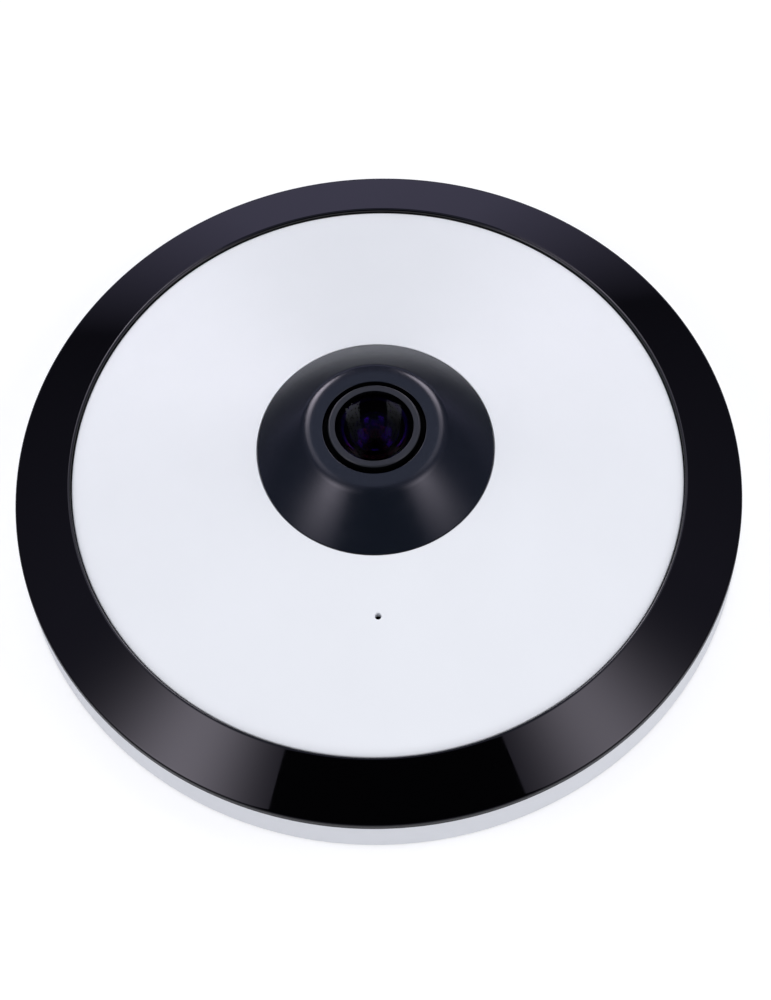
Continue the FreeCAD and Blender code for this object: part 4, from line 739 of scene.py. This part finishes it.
def slanted_strip(tree, direction):
    """Two long softboxes left and right overhead, which slant down towards the back."""
    turn = math.radians(VIEW_AZIMUTH)
    back = Vector((-math.sin(turn), math.cos(turn), 0))
    side = math_node(tree, "ABSOLUTE", along(tree, direction, (math.cos(turn), math.sin(turn), 0)))
    depth = along(tree, direction, (*(back.xy * STRIP_SLANT), 1))
    across = math_node(tree, "DIVIDE", side, depth)
    length = math_node(tree, "DIVIDE", along(tree, direction, back), depth)
    shape = math_node(tree, "MULTIPLY", band(tree, across, *STRIP_WIDTH), band(tree, length, *STRIP_LENGTH))
    return math_node(tree, "MULTIPLY", shape, map_range(tree, length, *STRIP_LEVEL, smooth=True))


def dim_room(tree, elevation, off_axis):
    """The horizon, lighter away from the camera's side, and the walls above it."""
    horizon = math_node(tree, "MULTIPLY", map_range(tree, elevation, *HORIZON),
                        map_range(tree, off_axis, *HORIZON_SIDE, smooth=True))
    return math_node(tree, "MAXIMUM", horizon, map_range(tree, elevation, *ROOM))


def pale_ceiling(tree, elevation, off_axis):
    """A light ceiling away from the camera's side."""
    away = map_range(tree, off_axis, *CEILING_SIDE, smooth=True)
    ceiling = math_node(tree, "MULTIPLY", band(tree, elevation, *CEILING), away)
    return math_node(tree, "MULTIPLY", ceiling, CEILING_LEVEL)


def soft_windows(tree, direction, azimuth, elevation, off_axis):
    """A round glow on each side and the slanted strips above, a little brighter on the left."""
    side = math_node(tree, "DIVIDE", math_node(tree, "SUBTRACT", off_axis, FRONT_WINDOW[0]), FRONT_WINDOW[2])
    rise = math_node(tree, "DIVIDE", math_node(tree, "SUBTRACT", elevation, FRONT_WINDOW[1]), FRONT_WINDOW[3])
    spread = math_node(tree, "ADD", math_node(tree, "MULTIPLY", side, side),
                       math_node(tree, "MULTIPLY", rise, rise))
    lobe = math_node(tree, "EXPONENT", math_node(tree, "MULTIPLY", spread, -1))
    window = math_node(tree, "ADD", math_node(tree, "MULTIPLY", lobe, FRONT_LEVEL),
                       slanted_strip(tree, direction))
    balance = map_range(tree, azimuth, -SHARE_SIDE, SHARE_SIDE, LEFT_SHARE, RIGHT_SHARE)
    return math_node(tree, "MULTIPLY", window, balance)


def studio_gloss(tree, direction):
    """What gloss sees: windows, ceiling and room, with the room dark behind the camera."""
    split = tree.nodes.new("ShaderNodeSeparateXYZ")
    tree.links.new(direction, split.inputs["Vector"])
    x, y, z = (split.outputs[axis] for axis in "XYZ")
    elevation = math_node(tree, "MULTIPLY", math_node(tree, "ARCSINE", z), DEGREES)
    turn = math_node(tree, "ARCTAN2", x, math_node(tree, "MULTIPLY", y, -1))
    azimuth = math_node(tree, "MULTIPLY", turn, DEGREES)
    off_axis = math_node(tree, "ABSOLUTE", math_node(tree, "SUBTRACT", azimuth, VIEW_AZIMUTH))

    open_side = math_node(tree, "GREATER_THAN", off_axis, WINDOW_INNER)
    window = soft_windows(tree, direction, azimuth, elevation, off_axis)
    window = math_node(tree, "MULTIPLY", window, open_side)
    shown = math_node(tree, "MAXIMUM", open_side, math_node(tree, "LESS_THAN", elevation, WINDOW_FOOT))
    dim = math_node(tree, "MULTIPLY", dim_room(tree, elevation, off_axis), shown)
    dim = math_node(tree, "MAXIMUM", dim, DARKEST)
    gloss = joined(tree, tinted(tree, window, WINDOW_TINT), tinted(tree, dim, ROOM_TINT))
    return joined(tree, gloss, tinted(tree, pale_ceiling(tree, elevation, off_axis), CEILING_TINT))


def studio_world():
    """White to the camera, even light to matt surfaces, and the studio in gloss."""
    world = bpy.data.worlds.new("studio")
    bpy.context.scene.world = world
    world.use_nodes = True
    world.cycles.sampling_method = "NONE"
    tree = world.node_tree
    tree.nodes.clear()
    direction = tree.nodes.new("ShaderNodeTexCoord").outputs["Generated"]
    light_path = tree.nodes.new("ShaderNodeLightPath")
    glossy = math_node(tree, "MAXIMUM", light_path.outputs["Is Glossy Ray"],
                       light_path.outputs["Is Transmission Ray"])
    seen = choose(tree, glossy, AMBIENT, studio_gloss(tree, direction))
    seen = choose(tree, light_path.outputs["Is Camera Ray"], seen, WHITE)
    background = tree.nodes.new("ShaderNodeBackground")
    tree.links.new(seen, background.inputs["Color"])
    output = tree.nodes.new("ShaderNodeOutputWorld")
    tree.links.new(background.outputs["Background"], output.inputs["Surface"])


def add_lamp(name, azimuth, elevation, size, energy):
    """A square softbox that faces the part and stays out of reflections."""
    light = bpy.data.lights.new(name, "AREA")
    light.shape = "SQUARE"
    light.size = size
    light.energy = energy
    lamp = bpy.data.objects.new(name, light)
    direction = direction_of(azimuth, elevation)
    lamp.location = direction * LAMP_DISTANCE
    lamp.rotation_euler = direction.to_track_quat("Z", "Y").to_euler()
    lamp.visible_glossy = False
    bpy.context.scene.collection.objects.link(lamp)


def direction_of(azimuth, elevation):
    """A unit vector whose azimuth runs from -Y towards +X."""
    turn = math.radians(azimuth)
    lift = math.radians(elevation)
    return Vector((math.sin(turn) * math.cos(lift), -math.cos(turn) * math.cos(lift), math.sin(lift)))


def floor_material():
    """To the part a grey mat on a dark table, and to the camera lifted to white."""
    material = new_material("floor_white", MAT_COLOUR, 0.9, Emission_Color=(*WHITE, 1))
    tree = material.node_tree
    shader = tree.nodes["Principled BSDF"]
    place_node = tree.nodes.new("ShaderNodeTexCoord")
    distance = tree.nodes.new("ShaderNodeVectorMath")
    distance.operation = "LENGTH"
    tree.links.new(place_node.outputs["Object"], distance.inputs[0])
    far = map_range(tree, distance.outputs["Value"], *MAT_EDGE, 0, 1, smooth=True)
    tree.links.new(choose(tree, far, MAT_COLOUR, TABLE_COLOUR), shader.inputs["Base Color"])
    light_path = tree.nodes.new("ShaderNodeLightPath")
    lift = map_range(tree, far, 0, 1, MAT_LIFT, TABLE_LIFT)
    lift = math_node(tree, "MULTIPLY", light_path.outputs["Is Camera Ray"], lift)
    tree.links.new(lift, shader.inputs["Emission Strength"])
    return material


def make_floor():
    """A wide floor just below the part."""
    mesh = bpy.data.meshes.new("floor")
    corners = [(x * FLOOR_HALF, y * FLOOR_HALF, FLOOR_LEVEL) for x, y in ((-1, -1), (1, -1), (1, 1), (-1, 1))]
    mesh.from_pydata(corners, [], [(0, 1, 2, 3)])
    floor = bpy.data.objects.new("floor", mesh)
    bpy.context.scene.collection.objects.link(floor)
    floor.data.materials.append(floor_material())


def make_camera():
    """The camera of the photograph, aimed at the axis and then panned, tilted and rolled."""
    data = bpy.data.cameras.new("camera")
    data.lens = LENS_MM
    data.sensor_width = SENSOR_MM
    camera = bpy.data.objects.new("camera", data)
    bpy.context.scene.collection.objects.link(camera)
    bpy.context.scene.camera = camera
    arm = direction_of(VIEW_AZIMUTH, VIEW_ELEVATION)
    forward = -arm
    right = forward.cross(Vector((0, 0, 1))).normalized()
    down = forward.cross(right)
    turned = Matrix((right, down, forward))
    for axis, angle in (("Y", PAN), ("X", TILT), ("Z", ROLL)):
        turned = Matrix.Rotation(math.radians(angle), 3, axis) @ turned
    axes = Matrix((turned[0], -turned[1], -turned[2])).transposed()
    centre = Vector((0, 0, VIEW_CENTRE_Z))
    camera.matrix_world = Matrix.Translation(arm * VIEW_DISTANCE + centre) @ axes.to_4x4()


slot_of = {part["node"]: part["material_slot"] for part in frame["record"]["subparts"]}
body_of = {node: body for body, nodes in frame["record"]["behaviour"]["bodies"].items() for node in nodes}
materials = make_materials()
dress_nodes()
window_ring()
cover_disc()
shroud()
lens_ring()
front_glass()
studio_world()
for lamp_name, lamp_setting in LAMPS.items():
    add_lamp(lamp_name, *lamp_setting)
make_floor()
make_camera()
bpy.context.scene.view_settings.view_transform = "Standard"
